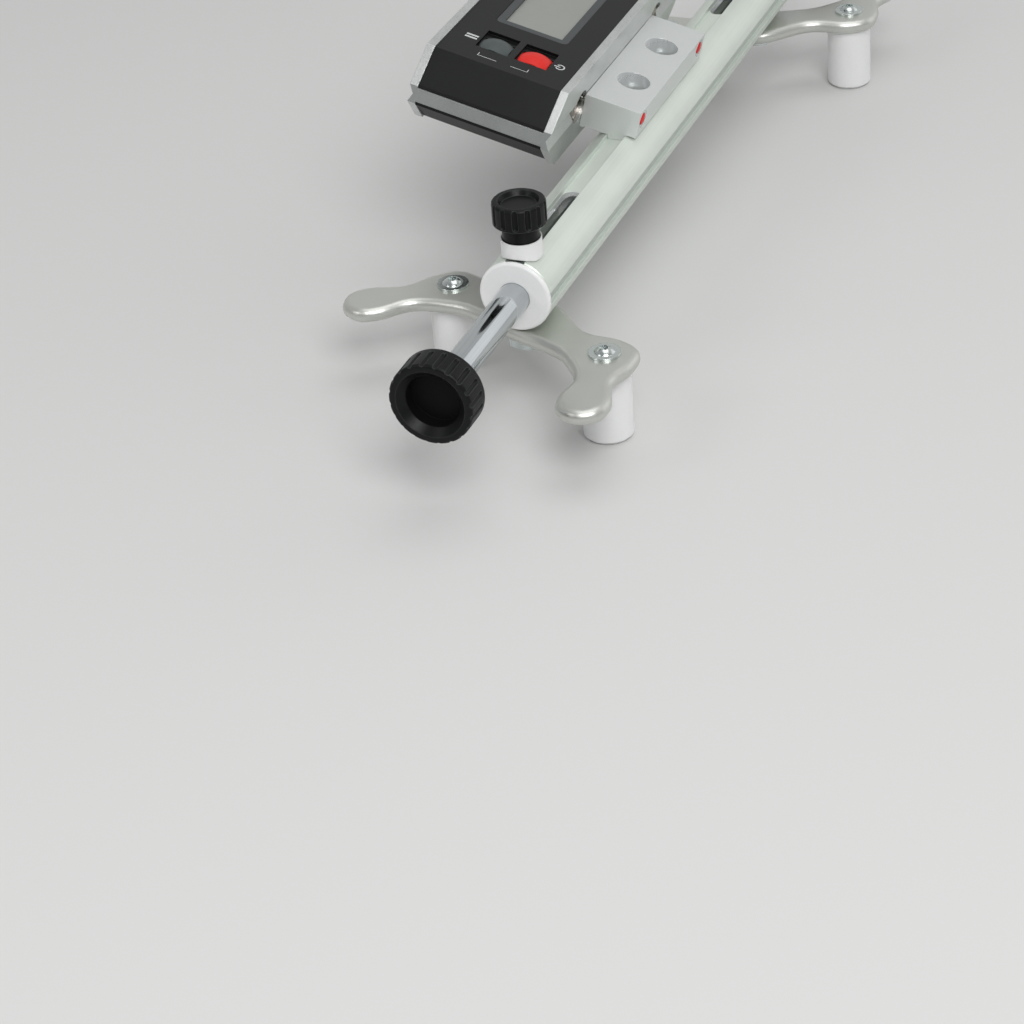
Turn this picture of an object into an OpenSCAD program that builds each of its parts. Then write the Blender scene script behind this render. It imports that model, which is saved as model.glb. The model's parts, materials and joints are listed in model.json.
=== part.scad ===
// Digital level for a steering wheel.
// A round profile bar carries a tilted digital level on its middle and a swivelling claw under each end.
// Millimetres, +Z up, +X along the bar, +Y towards the level. The part stands on the ends of its four pegs.

/* [Bar] */
// Outer radius of the round profile
bar_r = 14; // [12:0.5:18]
// Radius of the bore that the slide bushes run in
bore_r = 9.5; // [9:0.25:10]
// Length of the profile
bar_l = 298; // [292:1:340]
// Width of the flat-floored groove on top
groove_w = 7.6; // [6.6:0.1:9]
// Depth of the top groove below the crown
groove_d = 2.6; // [2:0.1:3]
// Width of the narrow grooves along both sides and the bottom
side_groove_w = 4.8; // [3:0.1:6]
// Depth of the narrow grooves
side_groove_d = 2; // [1:0.1:2.5]

/* [Slides] */
// Distance from the bar's end to the stud of a slide at rest
stud_inset = 8; // [7.5:0.5:10]
// Travel of each slide towards the middle
slide_travel = 46; // [20:1:47]
// Radius of the chromed rod
rod_r = 6; // [5:0.25:6.5]
// Length of rod that shows between the end ring and the end knob
rod_reach = 68; // [62:1:90]
// Length of the guide bush on the rod's inner end
bush_l = 8; // [6:1:10]
// Radius of the stud where the lock knob runs on it
stud_r = 3; // [2.5:0.25:3.5]
// Radius of the stud's shoulder where the claw turns
shoulder_r = 4; // [3.75:0.25:4.5]
// Radius of the stud's head under the claw
stud_head_r = 7.5; // [6:0.25:9]
// Height of the stud's head
stud_head_h = 3.2; // [2:0.2:5]

/* [End ring] */
// Thickness of the ring's flange
ring_t = 2.4; // [1.6:0.2:4]
// How far the ring's spigot enters the bar
ring_spigot = 2.6; // [1:0.2:3]

/* [End knob] */
// Radius of the end knob
end_knob_r = 16; // [13:0.5:20]
// Length of the end knob along the rod
end_knob_l = 12.4; // [10:0.2:18]
// Depth of the cup in the knob's front
cup_depth = 8; // [5:0.5:8.5]
// Radius of the cup
cup_r = 10.4; // [8:0.2:11]
// Width of the chamfer round the cup's mouth
cup_chamfer = 2.8; // [1:0.2:3]
// Number of flutes round the end knob
end_flutes = 24; // [12:1:28]

/* [Lock knob] */
// Radius of the lock knob's head
lock_r = 10.2; // [8.5:0.1:13]
// Height of the lock knob's fluted head
lock_head_h = 9.2; // [6:0.2:12]
// Radius of the lock knob's neck
lock_neck_r = 7; // [6:0.1:7.5]
// Height of the neck
lock_neck_h = 7.6; // [4:0.2:10]
// Number of flutes round the lock knob
lock_flutes = 14; // [8:1:18]
// Outer radius of the white collar under the lock knob
collar_r = 7.8; // [7.6:0.1:9]
// Height of the collar
collar_h = 6.4; // [4:0.2:9]

/* [Claw] */
// Thickness of the claw plate, which is also twice its edge radius
claw_t = 6; // [5:0.5:8]
// Distance between the two pegs of one claw
peg_pitch = 82.6; // [76:0.2:92]
// Radius of the lobe round each peg screw
lobe_r = 13.2; // [12.4:0.2:14.4]
// How far the centre of the finger's tip lies out from the peg line
finger_out = 28.2; // [26:0.2:31]
// How far the centre of the finger's tip lies beyond the peg, along the peg line
finger_up = 17; // [15:0.2:19]
// Radius of the finger's tip
tip_r = 10.4; // [9.4:0.2:11.4]
// Width of the finger's neck
neck_w = 14.8; // [13:0.2:17]
// Swivel of the claw away from square to the bar, as it rests
swivel = 25; // [0:1:30]
// Radius of a peg
peg_r = 9.5; // [7:0.25:11]
// Length of a peg below the claw
peg_l = 28; // [18:1:40]

/* [Mounting block] */
// Length of the block along the bar
block_l = 78.8; // [70:0.2:100]
// Width of the block from the level's base to its outer face
block_w = 23.7; // [22:0.1:28]
// Height of the block's top above the middle of the level's thickness
block_top = 3.7; // [3:0.1:7]
// Distance between the two vertical bores
bore_pitch = 33.9; // [28:0.1:38]
// Radius of the vertical bores
block_bore_r = 6.6; // [5.4:0.1:7]
// Distance of the level screws from the block's ends
level_screw_inset = 4.8; // [4:0.2:10]

/* [Level] */
// Tilt of the level about the bar's axis
tilt = 14.7; // [8:0.1:18]
// Length of the level
level_l = 154; // [150:1:180]
// Width of the level from its base to its top rail
level_w = 60; // [58:0.5:70]
// Thickness of the level
level_t = 32.4; // [31.6:0.2:38]
// Thickness of the two rails
rail_t = 3.3; // [2.8:0.1:4]
// Thickness of the web between the rails
web_t = 6; // [5:0.2:7]
// Height of the upright flat in the middle of each end
end_flat = 7.7; // [7.2:0.1:10]
// Depth of the V-groove along the outside of each rail
vee_d = 1.8; // [1:0.1:2]
// Horizontal distance from the bar's axis to the level's base line
level_offset = 12.8; // [12.4:0.1:14]
// Height of the level's base line above the bar's crown
level_rise = 12.3; // [11.6:0.1:14]
// How far the front housing lies below the rails' edges
front_drop = 0.6; // [0.2:0.1:1]
// Wall of the front housing
housing_wall = 2.2; // [2:0.1:2.4]

/* [Display and buttons] */
// Length of the display opening along the level
display_l = 58; // [50:1:62]
// Width of the display opening
display_w = 31; // [26:0.5:33]
// Width of the frame round the visible display
frame_w = 3.2; // [2:0.1:4]
// How far the display frame lies below the front
frame_drop = 0.2; // [0.1:0.1:0.5]
// Size of a button along the level
button_l = 10; // [8:0.2:11]
// Size of a button across the level
button_w = 12.4; // [10:0.2:13]
// Distance of the buttons from the level's end
button_inset = 30; // [28:0.5:34]
// Distance of the red button from the level's base
button_low = 21; // [20:0.5:23]
// Distance between the two buttons
button_pitch = 16.5; // [15.6:0.1:19]
// Travel of a button
button_travel = 0.8; // [0.4:0.1:1]

/* [Hidden] */
$fn = 64;
// Radial clearance of parts that run or slide in each other
run_gap = 0.05;
// Clearance between faces of parts that move past each other
move_gap = 0.35;
// Clearance between fixed parts that fit in each other
fit_gap = 0.1;
// Small edge break
edge = 0.6;
// Overlap that lets a cut pass through a face
cut = 1;
// Space left before the end of a blind screw hole
blind_gap = 0.5;
// Hexagon socket of the block screws and studs
hex_r = 2.9;
hex_d = 2;
// Share of a round corner's radius that its middle point is drawn in
corner_share = 0.3;

// Stations of a slide, measured from its stud along the bar and from the bar's axis upwards
bar_end = -stud_inset;
ring_front = bar_end - ring_t;
knob_back = ring_front - rod_reach;
rod_seat = 3.4;
chamfer = 0.5;
slot_w = max(groove_w - 2 * fit_gap, 2 * (stud_r + move_gap));
lower_slot_w = 2 * (shoulder_r + move_gap);
slot_over = 9;
slot_in = slide_travel + slot_over;
bush_start = slot_in + 5;
rod_inner = bush_start + bush_l;
pivot_x = bar_l / 2 - stud_inset;
claw_top = -(bar_r + move_gap + fit_gap);
claw_mid = claw_top - claw_t / 2;
claw_bottom = claw_top - claw_t;
head_top = claw_bottom - move_gap;
axis_z = -claw_bottom + peg_l;
lips_z = sqrt(pow(bar_r, 2) - pow(groove_w / 2, 2));
saddle_r = bar_r + move_gap;
collar_z = lips_z + move_gap;
collar_foot = sqrt(pow(saddle_r, 2) - pow(collar_r, 2)) + edge - collar_z;
collar_floor = 4.4;
lock_z = collar_z + collar_floor + move_gap;
lock_rim = 3;
lock_dish_r = lock_r - lock_rim;
lock_dish_d = 1.8;
lock_round = 1.2;
lock_flare = 2;
stud_step = 4;
stud_bite = 3;

// Peg screw with a flanged button head
peg_screw_r = 2.5;
peg_screw_flange_r = 6.2;
peg_screw_flange_h = 1;
peg_screw_head_r = 4.6;
peg_screw_head_h = 3;
peg_screw_l = 17;
socket_r = 1.9;
socket_d = 1.6;
peg_chamfer = 1.2;

// Claw outline: lobe and fingertip arcs, joined by a waist at the hub and a neck at the finger
hub_in = 16;
hub_out = 9.8;
waist_in = 8.4;
waist_out = 8.6;
waist_y = peg_pitch / 2 - 19.3;
crotch = [-12, peg_pitch / 2 - 7.6];
neck_at = 0.54;
lobe_angles = [-18, 35, 88];
tip_angles = [48, 100, 152, 204, 256];
curve_steps = 5;
edge_steps = 8;

// Block screws and nut strip inside the bar
block_screw_r = 3;
block_head_r = 5;
block_head_h = 4;
block_floor_t = 2.4;
block_floor = bar_r + block_floor_t;
nut_over = 6;
nut_l = bore_pitch + 2 * nut_over;
nut_z = 3.6;
groove_floor = bar_r - groove_d;

// Block, in the level's own frame
under_left = -10.3;
under_right = -7.8;
foot_right = 3.9;
lip_w = 2.2;
lip_h = 0.6;
ridge_h = 3.2;
ridge_d = vee_d - 4 * fit_gap;
magnet_r = 6.8;
magnet_show = 11.4;
magnet_sink = 1.5;
magnet_floor = 0.4;
magnet_t = rail_t - magnet_sink - magnet_floor;
magnet_x = block_l / 2 + magnet_show - magnet_r;
ridge_l = 2 * (magnet_x - magnet_r - cut);
level_screw_r = 2;
level_screw_head_r = 3.8;
level_screw_head_h = 2.4;
level_screw_z = -1;
level_screw_reach = 9;
level_screw_x = block_l / 2 - level_screw_inset;
seal_r = 2.5;
seal_d = 0.8;
seal_rise = 0.5;

// Level stations, in its own frame: x along, y from the base, z from mid thickness to the front
half_l = level_l / 2;
half_t = level_t / 2;
front_z = half_t - front_drop;
inner_w = level_w - 2 * (rail_t + fit_gap);
inner_y = rail_t + fit_gap;
end_run = half_t - end_flat / 2;
house_inset = 0.4;
house_lip = 1.3;
house_setback = 0.35;
house_half_l = half_l - house_inset;
house_flat = end_flat + house_lip;
house_run = end_run + house_setback;
ceiling = front_z - housing_wall;
board_gap = 1;
cavity_half_l = house_half_l - house_run - board_gap;
cavity_y = inner_y + housing_wall;
cavity_w = inner_w - 2 * housing_wall;
frame_lip = 1.5;
frame_t = 1.1;
frame_corner = 2.4;
lcd_flange_h = 1;
lcd_top = front_z - frame_drop - frame_t;
board_t = 1.6;
board_lift = 2.4;
board_z = web_t / 2 + board_lift;
board_top = board_z + board_t;
board_half_l = cavity_half_l - 2 * board_gap;
board_y = cavity_y + board_gap;
board_w = cavity_w - 2 * board_gap;
boss_r = 2.8;
board_screw_r = 1.1;
board_screw_head_r = 2;
board_screw_head_h = 1.2;
board_screw_l = 5;
boss_inset = 3.8;
boss_x = board_half_l - boss_inset;
boss_ys = [board_y + boss_inset, board_y + board_w - boss_inset];
button_x = -half_l + button_inset;
button_ys = [button_low, button_low + button_pitch];
button_rise = 1.2;
button_dome_r = 11;
pocket_d = 1.5;
pocket_border = 0.7;
pocket_deep = 3.2;
flange_w = 0.9;
flange_h = 1;
flange_top = ceiling - move_gap;
switch_w = 6;
switch_h = 2;
switch_cap_r = 1.6;
switch_cap_h = 0.6;
stem_bottom = board_top + switch_h + button_travel + move_gap;
stem_w = 4;
sensor_l = 10;
sensor_h = 3;
sensor_inset = 20;
sensor_x = board_half_l - sensor_inset;
buzzer_r = 5.5;
buzzer_h = 3.4;
buzzer_hole = 1;
buzzer_x = sensor_x;

// Back cover, battery door and cells
back_z = -front_z;
door_l = 56;
door_w = 30;
door_t = 1.6;
door_ledge = 2;
rib_w = 1;
rib_d = 0.5;
rib_pitch = 2.2;
rib_inset = 9;
cell_r = 5.25;
cell_l = 44.5;
cell_gap = 0.4;
cell_z = back_z + door_t + fit_gap + cell_r;
tip_cell_r = 1.9;
tip_cell_h = 1;
cover_screw_r = 1.25;
cover_head_r = 2.4;
cover_head_h = 1.6;
cover_head_sink = 2;
cover_inset = 5.5;
cover_screw_x = cavity_half_l - cover_inset;
cover_screw_ys = [inner_y + cover_inset, inner_y + inner_w - cover_inset];
cover_screw_bite = 4;

// Point at an angle on a circle
function on_circle(centre, r, a) = [centre[0] + r * cos(a), centre[1] + r * sin(a)];

// Smooth curve through four neighbouring points, between the middle two
function curve(p0, p1, p2, p3, t) =
    0.5 * (2 * p1 + (p2 - p0) * t + (2 * p0 - 5 * p1 + 4 * p2 - p3) * t * t
        + (3 * p1 - p0 - 3 * p2 + p3) * t * t * t);

// Closed smooth curve through a list of points
function smooth_loop(p, steps) =
    let (n = len(p))
    [for (i = [0 : n - 1], k = [0 : steps - 1])
        curve(p[(i + n - 1) % n], p[i], p[(i + 1) % n], p[(i + 2) % n], k / steps)];

// Outward normal at each point of a loop that runs anticlockwise
function loop_normals(p) =
    let (n = len(p))
    [for (i = [0 : n - 1])
        let (t = p[(i + 1) % n] - p[(i + n - 1) % n])
        [t[1], -t[0]] / norm(t)];

// Places a slide's pieces at the near or the far end, from the stud on the bar's axis
module at_end(far) {
    if (far)
        mirror([1, 0, 0])
            translate([-pivot_x, 0, axis_z])
                children();
    else
        translate([-pivot_x, 0, axis_z])
            children();
}

// Places what is on the bar's middle, from the bar's axis
module on_bar() {
    translate([0, 0, axis_z])
        children();
}

// Places the level's own frame: base line at the origin, y up the level, z out of its front
module on_level() {
    translate([0, level_offset, axis_z + bar_r + level_rise])
        rotate([tilt, 0, 0])
            children();
}

// Extrudes a profile drawn in y and z along x, centred
module along_x(length) {
    rotate([90, 0, 90])
        linear_extrude(height = length, center = true)
            children();
}

// Extrudes a profile drawn in x and z along +y from y = 0
module along_y(length) {
    translate([0, length, 0])
        rotate([90, 0, 0])
            linear_extrude(height = length)
                children();
}

// Turns a revolved piece so that its axis runs along +x
module turned_x() {
    rotate([0, 90, 0])
        children();
}

// Upright slot with round ends, from x0 to x1
module slot_cut(x0, x1, width, z0, height) {
    translate([0, 0, z0]) {
        for (x = [x0, x1])
            translate([x, 0, 0])
                cylinder(r = width / 2, h = height);
        translate([x0, -width / 2, 0])
            cube([x1 - x0, width, height]);
    }
}

// Box centred on x and y, standing on z = 0
module slab(length, width, height) {
    translate([-length / 2, -width / 2, 0])
        cube([length, width, height]);
}

// Box with round upright corners, centred on x and y, standing on z = 0
module rounded_slab(length, width, height, corner) {
    for (x = [-1, 1], y = [-1, 1])
        translate([x * (length / 2 - corner), y * (width / 2 - corner), 0])
            cylinder(r = corner, h = height);
    slab(length - 2 * corner, width, height);
    slab(length, width - 2 * corner, height);
}

// Round extruded tube with a wide groove on its crown and narrow ones at its sides and bottom
module bar_section() {
    difference() {
        circle(r = bar_r);
        circle(r = bore_r);
        translate([-groove_w / 2, groove_floor])
            square([groove_w, groove_d + cut]);
        for (a = [90, 180, 270])
            rotate(a)
                translate([-side_groove_w / 2, bar_r - side_groove_d])
                    square([side_groove_w, side_groove_d + cut]);
    }
}

// Solid round bar with its ends broken, which trims the profile
module chamfered_bar() {
    turned_x()
        rotate_extrude()
            polygon([
                [0, -bar_l / 2],
                [bar_r - chamfer, -bar_l / 2],
                [bar_r + cut, -bar_l / 2 + chamfer + cut],
                [bar_r + cut, bar_l / 2 - chamfer - cut],
                [bar_r - chamfer, bar_l / 2],
                [0, bar_l / 2]
            ]);
}

module profile_bar() {
    color("#C9D1CA")
        difference() {
            intersection() {
                on_bar()
                    along_x(bar_l)
                        bar_section();
                on_bar()
                    chamfered_bar();
            }
            for (far = [false, true])
                at_end(far) {
                    slot_cut(0, slot_in - slot_w / 2, slot_w, 0, bar_r + cut);
                    slot_cut(0, slot_in - lower_slot_w / 2, lower_slot_w, -bar_r - cut, bar_r + cut);
                }
            on_bar()
                for (s = [-1, 1])
                    translate([s * bore_pitch / 2, 0, 0])
                        cylinder(r = block_screw_r + fit_gap, h = bar_r + cut);
        }
}

// Flanged bush that closes the bar's end and guides the rod
module end_ring(far) {
    flange_r = bar_r + fit_gap;
    round_r = ring_t / 2;
    color("#DCDCDC")
        at_end(far)
            translate([ring_front, 0, 0])
                turned_x()
                    difference() {
                        union() {
                            rotate_extrude() {
                                square([flange_r - round_r, ring_t]);
                                translate([flange_r - round_r, round_r])
                                    circle(r = round_r);
                            }
                            cylinder(r = bore_r - run_gap, h = ring_t + ring_spigot);
                        }
                        translate([0, 0, -cut])
                            cylinder(r = rod_r + run_gap, h = ring_t + ring_spigot + 2 * cut);
                    }
}

module near_end_ring() {
    end_ring(false);
}

module far_end_ring() {
    end_ring(true);
}

// Block section in the level's frame, without its tongue
module block_section() {
    polygon([
        [-block_w, block_top],
        [-block_w, under_right],
        [-block_w + foot_right, under_right],
        [-block_w + foot_right, under_left],
        [-lip_w, under_left],
        [-lip_w, under_left - lip_h],
        [-fit_gap, under_left - lip_h],
        [-fit_gap, block_top]
    ]);
}

// Ridge on the block that sits in the V-groove of the level's base
module ridge_section() {
    polygon([
        [-ridge_d, ridge_h],
        [-fit_gap, ridge_h],
        [ridge_d, 0],
        [-fit_gap, -ridge_h],
        [-ridge_d, -ridge_h]
    ]);
}

module mounting_block() {
    tongue_w = groove_w - 4 * fit_gap;
    color("#C4C8C8")
        difference() {
            union() {
                difference() {
                    on_level() {
                        along_x(block_l)
                            block_section();
                        along_x(ridge_l)
                            ridge_section();
                    }
                    on_bar()
                        along_x(block_l + 2 * cut)
                            circle(r = bar_r + fit_gap);
                }
                on_bar()
                    translate([0, 0, groove_floor + fit_gap])
                        slab(block_l, tongue_w, groove_d + 2 * cut);
            }
            on_bar()
                for (s = [-1, 1])
                    translate([s * bore_pitch / 2, 0, 0]) {
                        cylinder(r = block_screw_r + fit_gap, h = 2 * bar_r);
                        translate([0, 0, block_floor])
                            cylinder(r = block_bore_r, h = 2 * bar_r);
                    }
            on_level()
                level_screw_holes(fit_gap);
        }
}

// Two screws from the block's outer face into the level's base
module level_screw_holes(gap) {
    for (s = [-1, 1])
        translate([s * level_screw_x, -block_w, level_screw_z])
            rotate([-90, 0, 0]) {
                translate([0, 0, -gap])
                    cylinder(
                        r1 = level_screw_head_r + gap,
                        r2 = level_screw_r + gap,
                        h = level_screw_head_h
                    );
                translate([0, 0, -gap])
                    cylinder(r = level_screw_r + gap, h = block_w + level_screw_reach + gap);
            }
}

module block_screws() {
    color("#8E9294")
        on_bar()
            for (s = [-1, 1])
                translate([s * bore_pitch / 2, 0, 0])
                    difference() {
                        union() {
                            translate([0, 0, nut_z])
                                cylinder(r = block_screw_r, h = block_floor - nut_z + edge);
                            translate([0, 0, block_floor])
                                cylinder(r = block_head_r, h = block_head_h);
                        }
                        translate([0, 0, block_floor + block_head_h - hex_d])
                            cylinder(r = hex_r, h = hex_d + cut, $fn = 6);
                    }
}

module nut_strip() {
    color("#9A9C9C")
        on_bar()
            difference() {
                intersection() {
                    along_x(nut_l)
                        circle(r = bore_r - fit_gap);
                    translate([0, 0, nut_z])
                        slab(nut_l, 2 * bore_r, bore_r);
                }
                for (s = [-1, 1])
                    translate([s * bore_pitch / 2, 0, 0])
                        cylinder(r = block_screw_r + run_gap, h = bar_r);
            }
}

module level_screws() {
    color("#D8D8D4")
        on_level()
            difference() {
                level_screw_holes(0);
                for (s = [-1, 1])
                    translate([s * level_screw_x, -block_w, level_screw_z])
                        rotate([-90, 0, 0])
                            translate([0, 0, -cut])
                                cylinder(r = seal_r, h = seal_d + cut);
            }
}

// Red lacquer that fills the sockets of the level screws and stands up in a dome
module screw_seals() {
    rim_r = seal_r - run_gap;
    dome_r = (pow(rim_r, 2) + pow(seal_rise, 2)) / (2 * seal_rise);
    color("#E02020")
        on_level()
            for (s = [-1, 1])
                translate([s * level_screw_x, -block_w, level_screw_z])
                    rotate([-90, 0, 0]) {
                        cylinder(r = rim_r, h = seal_d - run_gap);
                        intersection() {
                            translate([0, 0, -seal_rise])
                                cylinder(r = rim_r, h = seal_rise + seal_d / 2);
                            translate([0, 0, dome_r - seal_rise])
                                sphere(r = dome_r);
                        }
                    }
}

// Puts children at the two round magnets in the level's base, with z into the base
module at_magnets() {
    for (s = [-1, 1])
        translate([s * magnet_x, 0, 0])
            rotate([-90, 0, 0])
                children();
}

module base_magnets() {
    color("#C9CCCC")
        on_level()
            at_magnets()
                translate([0, 0, magnet_sink])
                    cylinder(r = magnet_r, h = magnet_t);
}

// H-shaped section with a V-groove along the outside of each rail
module level_section() {
    vee_h = end_flat / 2;
    polygon([
        [0, half_t],
        [rail_t, half_t],
        [rail_t, web_t / 2],
        [level_w - rail_t, web_t / 2],
        [level_w - rail_t, half_t],
        [level_w, half_t],
        [level_w, vee_h],
        [level_w - vee_d, 0],
        [level_w, -vee_h],
        [level_w, -half_t],
        [level_w - rail_t, -half_t],
        [level_w - rail_t, -web_t / 2],
        [rail_t, -web_t / 2],
        [rail_t, -half_t],
        [0, -half_t],
        [0, -vee_h],
        [vee_d, 0],
        [0, vee_h]
    ]);
}

// Side view of a body whose ends slope back from an upright flat
module sloped_side(half_length, flat, half_height, run) {
    polygon([
        [-half_length, -flat / 2],
        [-half_length + run, -half_height],
        [half_length - run, -half_height],
        [half_length, -flat / 2],
        [half_length, flat / 2],
        [half_length - run, half_height],
        [-half_length + run, half_height],
        [-half_length, flat / 2]
    ]);
}

module level_frame() {
    color("#B8BAB8")
        on_level()
            difference() {
                intersection() {
                    along_x(level_l)
                        level_section();
                    translate([0, -cut, 0])
                        along_y(level_w + 2 * cut)
                            sloped_side(half_l, end_flat, half_t, end_run);
                }
                level_screw_holes(fit_gap);
                at_magnets()
                    translate([0, 0, -cut])
                        cylinder(r = magnet_r + fit_gap, h = magnet_sink + magnet_t + cut);
                for (x = [-cover_screw_x, cover_screw_x], y = cover_screw_ys)
                    translate([x, y, -web_t / 2 - cut])
                        cylinder(r = cover_screw_r + run_gap, h = cover_screw_bite + cut);
            }
}

// Half of the level's inside, in front of the web or behind it
module level_half(front) {
    translate([0, inner_y, 0])
        intersection() {
            along_y(inner_w)
                sloped_side(house_half_l, house_flat, front_z, house_run);
            translate([0, inner_w / 2, front ? web_t / 2 + fit_gap : -front_z - cut])
                slab(level_l, level_w, front_z - web_t / 2 - fit_gap + cut);
        }
}

module front_housing() {
    color("#3A3B3B")
        on_level()
            union() {
                difference() {
                    level_half(true);
                    translate([0, cavity_y + cavity_w / 2, 0])
                        slab(2 * cavity_half_l, cavity_w, ceiling);
                    translate([0, level_w / 2, 0])
                        rounded_slab(display_l, display_w, level_t, frame_corner);
                    for (y = button_ys)
                        translate([button_x, y, 0]) {
                            slab(button_l + 2 * move_gap, button_w + 2 * move_gap, level_t);
                            translate([pocket_deep / 2, 0, front_z - pocket_d])
                                slab(button_l + 2 * pocket_border + pocket_deep,
                                    button_w + 2 * pocket_border, level_t);
                        }
                }
                for (x = [-boss_x, boss_x], y = boss_ys)
                    translate([x, y, board_top])
                        difference() {
                            cylinder(r = boss_r, h = ceiling - board_top + edge);
                            translate([0, 0, -cut])
                                cylinder(r = board_screw_r + run_gap, h = board_screw_l - board_t + cut);
                        }
            }
}

// Flat frame with rounded corners that closes the display opening
module display_frame() {
    color("#5A5B5C")
        on_level()
            translate([0, level_w / 2, lcd_top])
                difference() {
                    rounded_slab(display_l - 2 * fit_gap, display_w - 2 * fit_gap, frame_t, frame_corner);
                    translate([0, 0, -cut])
                        slab(display_l - 2 * frame_w, display_w - 2 * frame_w, frame_t + 2 * cut);
                }
}

// Display glass in the opening, on a wider carrier that bears on the housing from inside
module display_panel() {
    color("#9A9D96")
        on_level()
            translate([0, level_w / 2, ceiling - lcd_flange_h]) {
                slab(display_l + 2 * frame_lip, display_w + 2 * frame_lip, lcd_flange_h);
                rounded_slab(display_l - 2 * fit_gap, display_w - 2 * fit_gap,
                    lcd_top - ceiling + lcd_flange_h, frame_corner);
            }
}

module circuit_board() {
    color("#2F6B3C")
        on_level()
            difference() {
                translate([0, board_y + board_w / 2, board_z])
                    slab(2 * board_half_l, board_w, board_t);
                for (x = [-boss_x, boss_x], y = boss_ys)
                    translate([x, y, board_z - cut])
                        cylinder(r = board_screw_r + run_gap, h = board_t + 2 * cut);
            }
}

module board_screws() {
    color("#B5B8B8")
        on_level()
            for (x = [-boss_x, boss_x], y = boss_ys)
                translate([x, y, board_z]) {
                    cylinder(r = board_screw_r, h = board_screw_l - blind_gap);
                    translate([0, 0, -board_screw_head_h])
                        cylinder(r = board_screw_head_r, h = board_screw_head_h);
                }
}

module tilt_sensor() {
    color("#3B3F44")
        on_level()
            translate([sensor_x, level_w / 2 + sensor_l, board_top])
                slab(sensor_l, sensor_l, sensor_h);
}

module buzzer() {
    color("#222426")
        on_level()
            translate([buzzer_x, level_w / 2 - sensor_l, board_top])
                difference() {
                    cylinder(r = buzzer_r, h = buzzer_h);
                    translate([0, 0, buzzer_h - buzzer_hole])
                        cylinder(r = buzzer_hole, h = buzzer_hole + cut);
                }
}

module key_switches() {
    color("#B9BCBC")
        on_level()
            for (y = button_ys)
                translate([button_x, y, board_top]) {
                    slab(switch_w, switch_w, switch_h - switch_cap_h);
                    cylinder(r = switch_cap_r, h = switch_h);
                }
}

module back_cover() {
    color("#1D1F20")
        on_level()
            difference() {
                level_half(false);
                translate([0, level_w / 2, back_z])
                    slab(door_l - 2 * door_ledge, door_w - 2 * door_ledge, level_t / 2);
                translate([0, level_w / 2, back_z - cut])
                    slab(door_l, door_w, door_t + cut);
                for (x = [-cover_screw_x, cover_screw_x], y = cover_screw_ys)
                    translate([x, y, back_z - cut]) {
                        cylinder(r = cover_screw_r + fit_gap, h = level_t / 2);
                        cylinder(r = cover_head_r + fit_gap, h = cover_head_sink + cover_head_h + cut);
                    }
            }
}

module cover_screws() {
    head_z = back_z + cover_head_sink;
    color("#8E9294")
        on_level()
            for (x = [-cover_screw_x, cover_screw_x], y = cover_screw_ys)
                translate([x, y, head_z]) {
                    cylinder(r = cover_head_r, h = cover_head_h);
                    cylinder(r = cover_screw_r, h = -web_t / 2 + cover_screw_bite - blind_gap - head_z);
                }
}

module battery_door() {
    color("#1D1F20")
        on_level()
            difference() {
                translate([0, level_w / 2, back_z])
                    slab(door_l - 2 * fit_gap, door_w - 2 * fit_gap, door_t);
                for (i = [-2 : 2])
                    translate([door_l / 2 - rib_inset + rib_pitch * i, level_w / 2, back_z - cut])
                        slab(rib_w, door_w / 2, cut + rib_d);
            }
}

module batteries() {
    color("#4A5560")
        on_level()
            for (s = [-1, 1])
                translate([0, level_w / 2 + s * (cell_r + cell_gap / 2), cell_z])
                    rotate([0, s * 90, 0]) {
                        translate([0, 0, -cell_l / 2])
                            cylinder(r = cell_r, h = cell_l - tip_cell_h);
                        cylinder(r = tip_cell_r, h = cell_l / 2);
                    }
}

// Button with a domed cap, a flange that keeps it in the housing and a stem over its switch
module button(y) {
    cap_h = front_z + button_rise - flange_top;
    on_level()
        translate([button_x, y, 0]) {
            intersection() {
                translate([0, 0, flange_top - edge])
                    slab(button_l, button_w, cap_h + edge);
                translate([0, 0, front_z + button_rise - button_dome_r])
                    sphere(r = button_dome_r);
            }
            translate([0, 0, flange_top - flange_h])
                slab(button_l + 2 * flange_w, button_w + 2 * flange_w, flange_h);
            translate([0, 0, stem_bottom])
                slab(stem_w, stem_w, flange_top - stem_bottom);
        }
}

module hold_button() {
    color("#5A6263")
        button(button_ys[1]);
}

module power_button() {
    color("#D93A34")
        button(button_ys[0]);
}

// Chromed rod with a cross hole for the stud
module rod(far) {
    color("#D5D8DA")
        at_end(far)
            difference() {
                translate([knob_back - rod_seat, 0, 0])
                    turned_x()
                        cylinder(r = rod_r, h = rod_inner - knob_back + rod_seat);
                cylinder(r = stud_r + fit_gap, h = 2 * rod_r);
                translate([0, 0, -2 * rod_r])
                    cylinder(r = shoulder_r + fit_gap, h = 2 * rod_r);
            }
}

module near_rod() {
    rod(false);
}

module far_rod() {
    rod(true);
}

// Sleeve on the rod's inner end that runs in the bar's bore
module guide_bush(far) {
    color("#DCDCDC")
        at_end(far)
            translate([bush_start, 0, 0])
                turned_x()
                    difference() {
                        cylinder(r = bore_r - run_gap, h = bush_l);
                        translate([0, 0, -cut])
                            cylinder(r = rod_r + run_gap, h = bush_l + 2 * cut);
                    }
}

module near_guide_bush() {
    guide_bush(false);
}

module far_guide_bush() {
    guide_bush(true);
}

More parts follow.
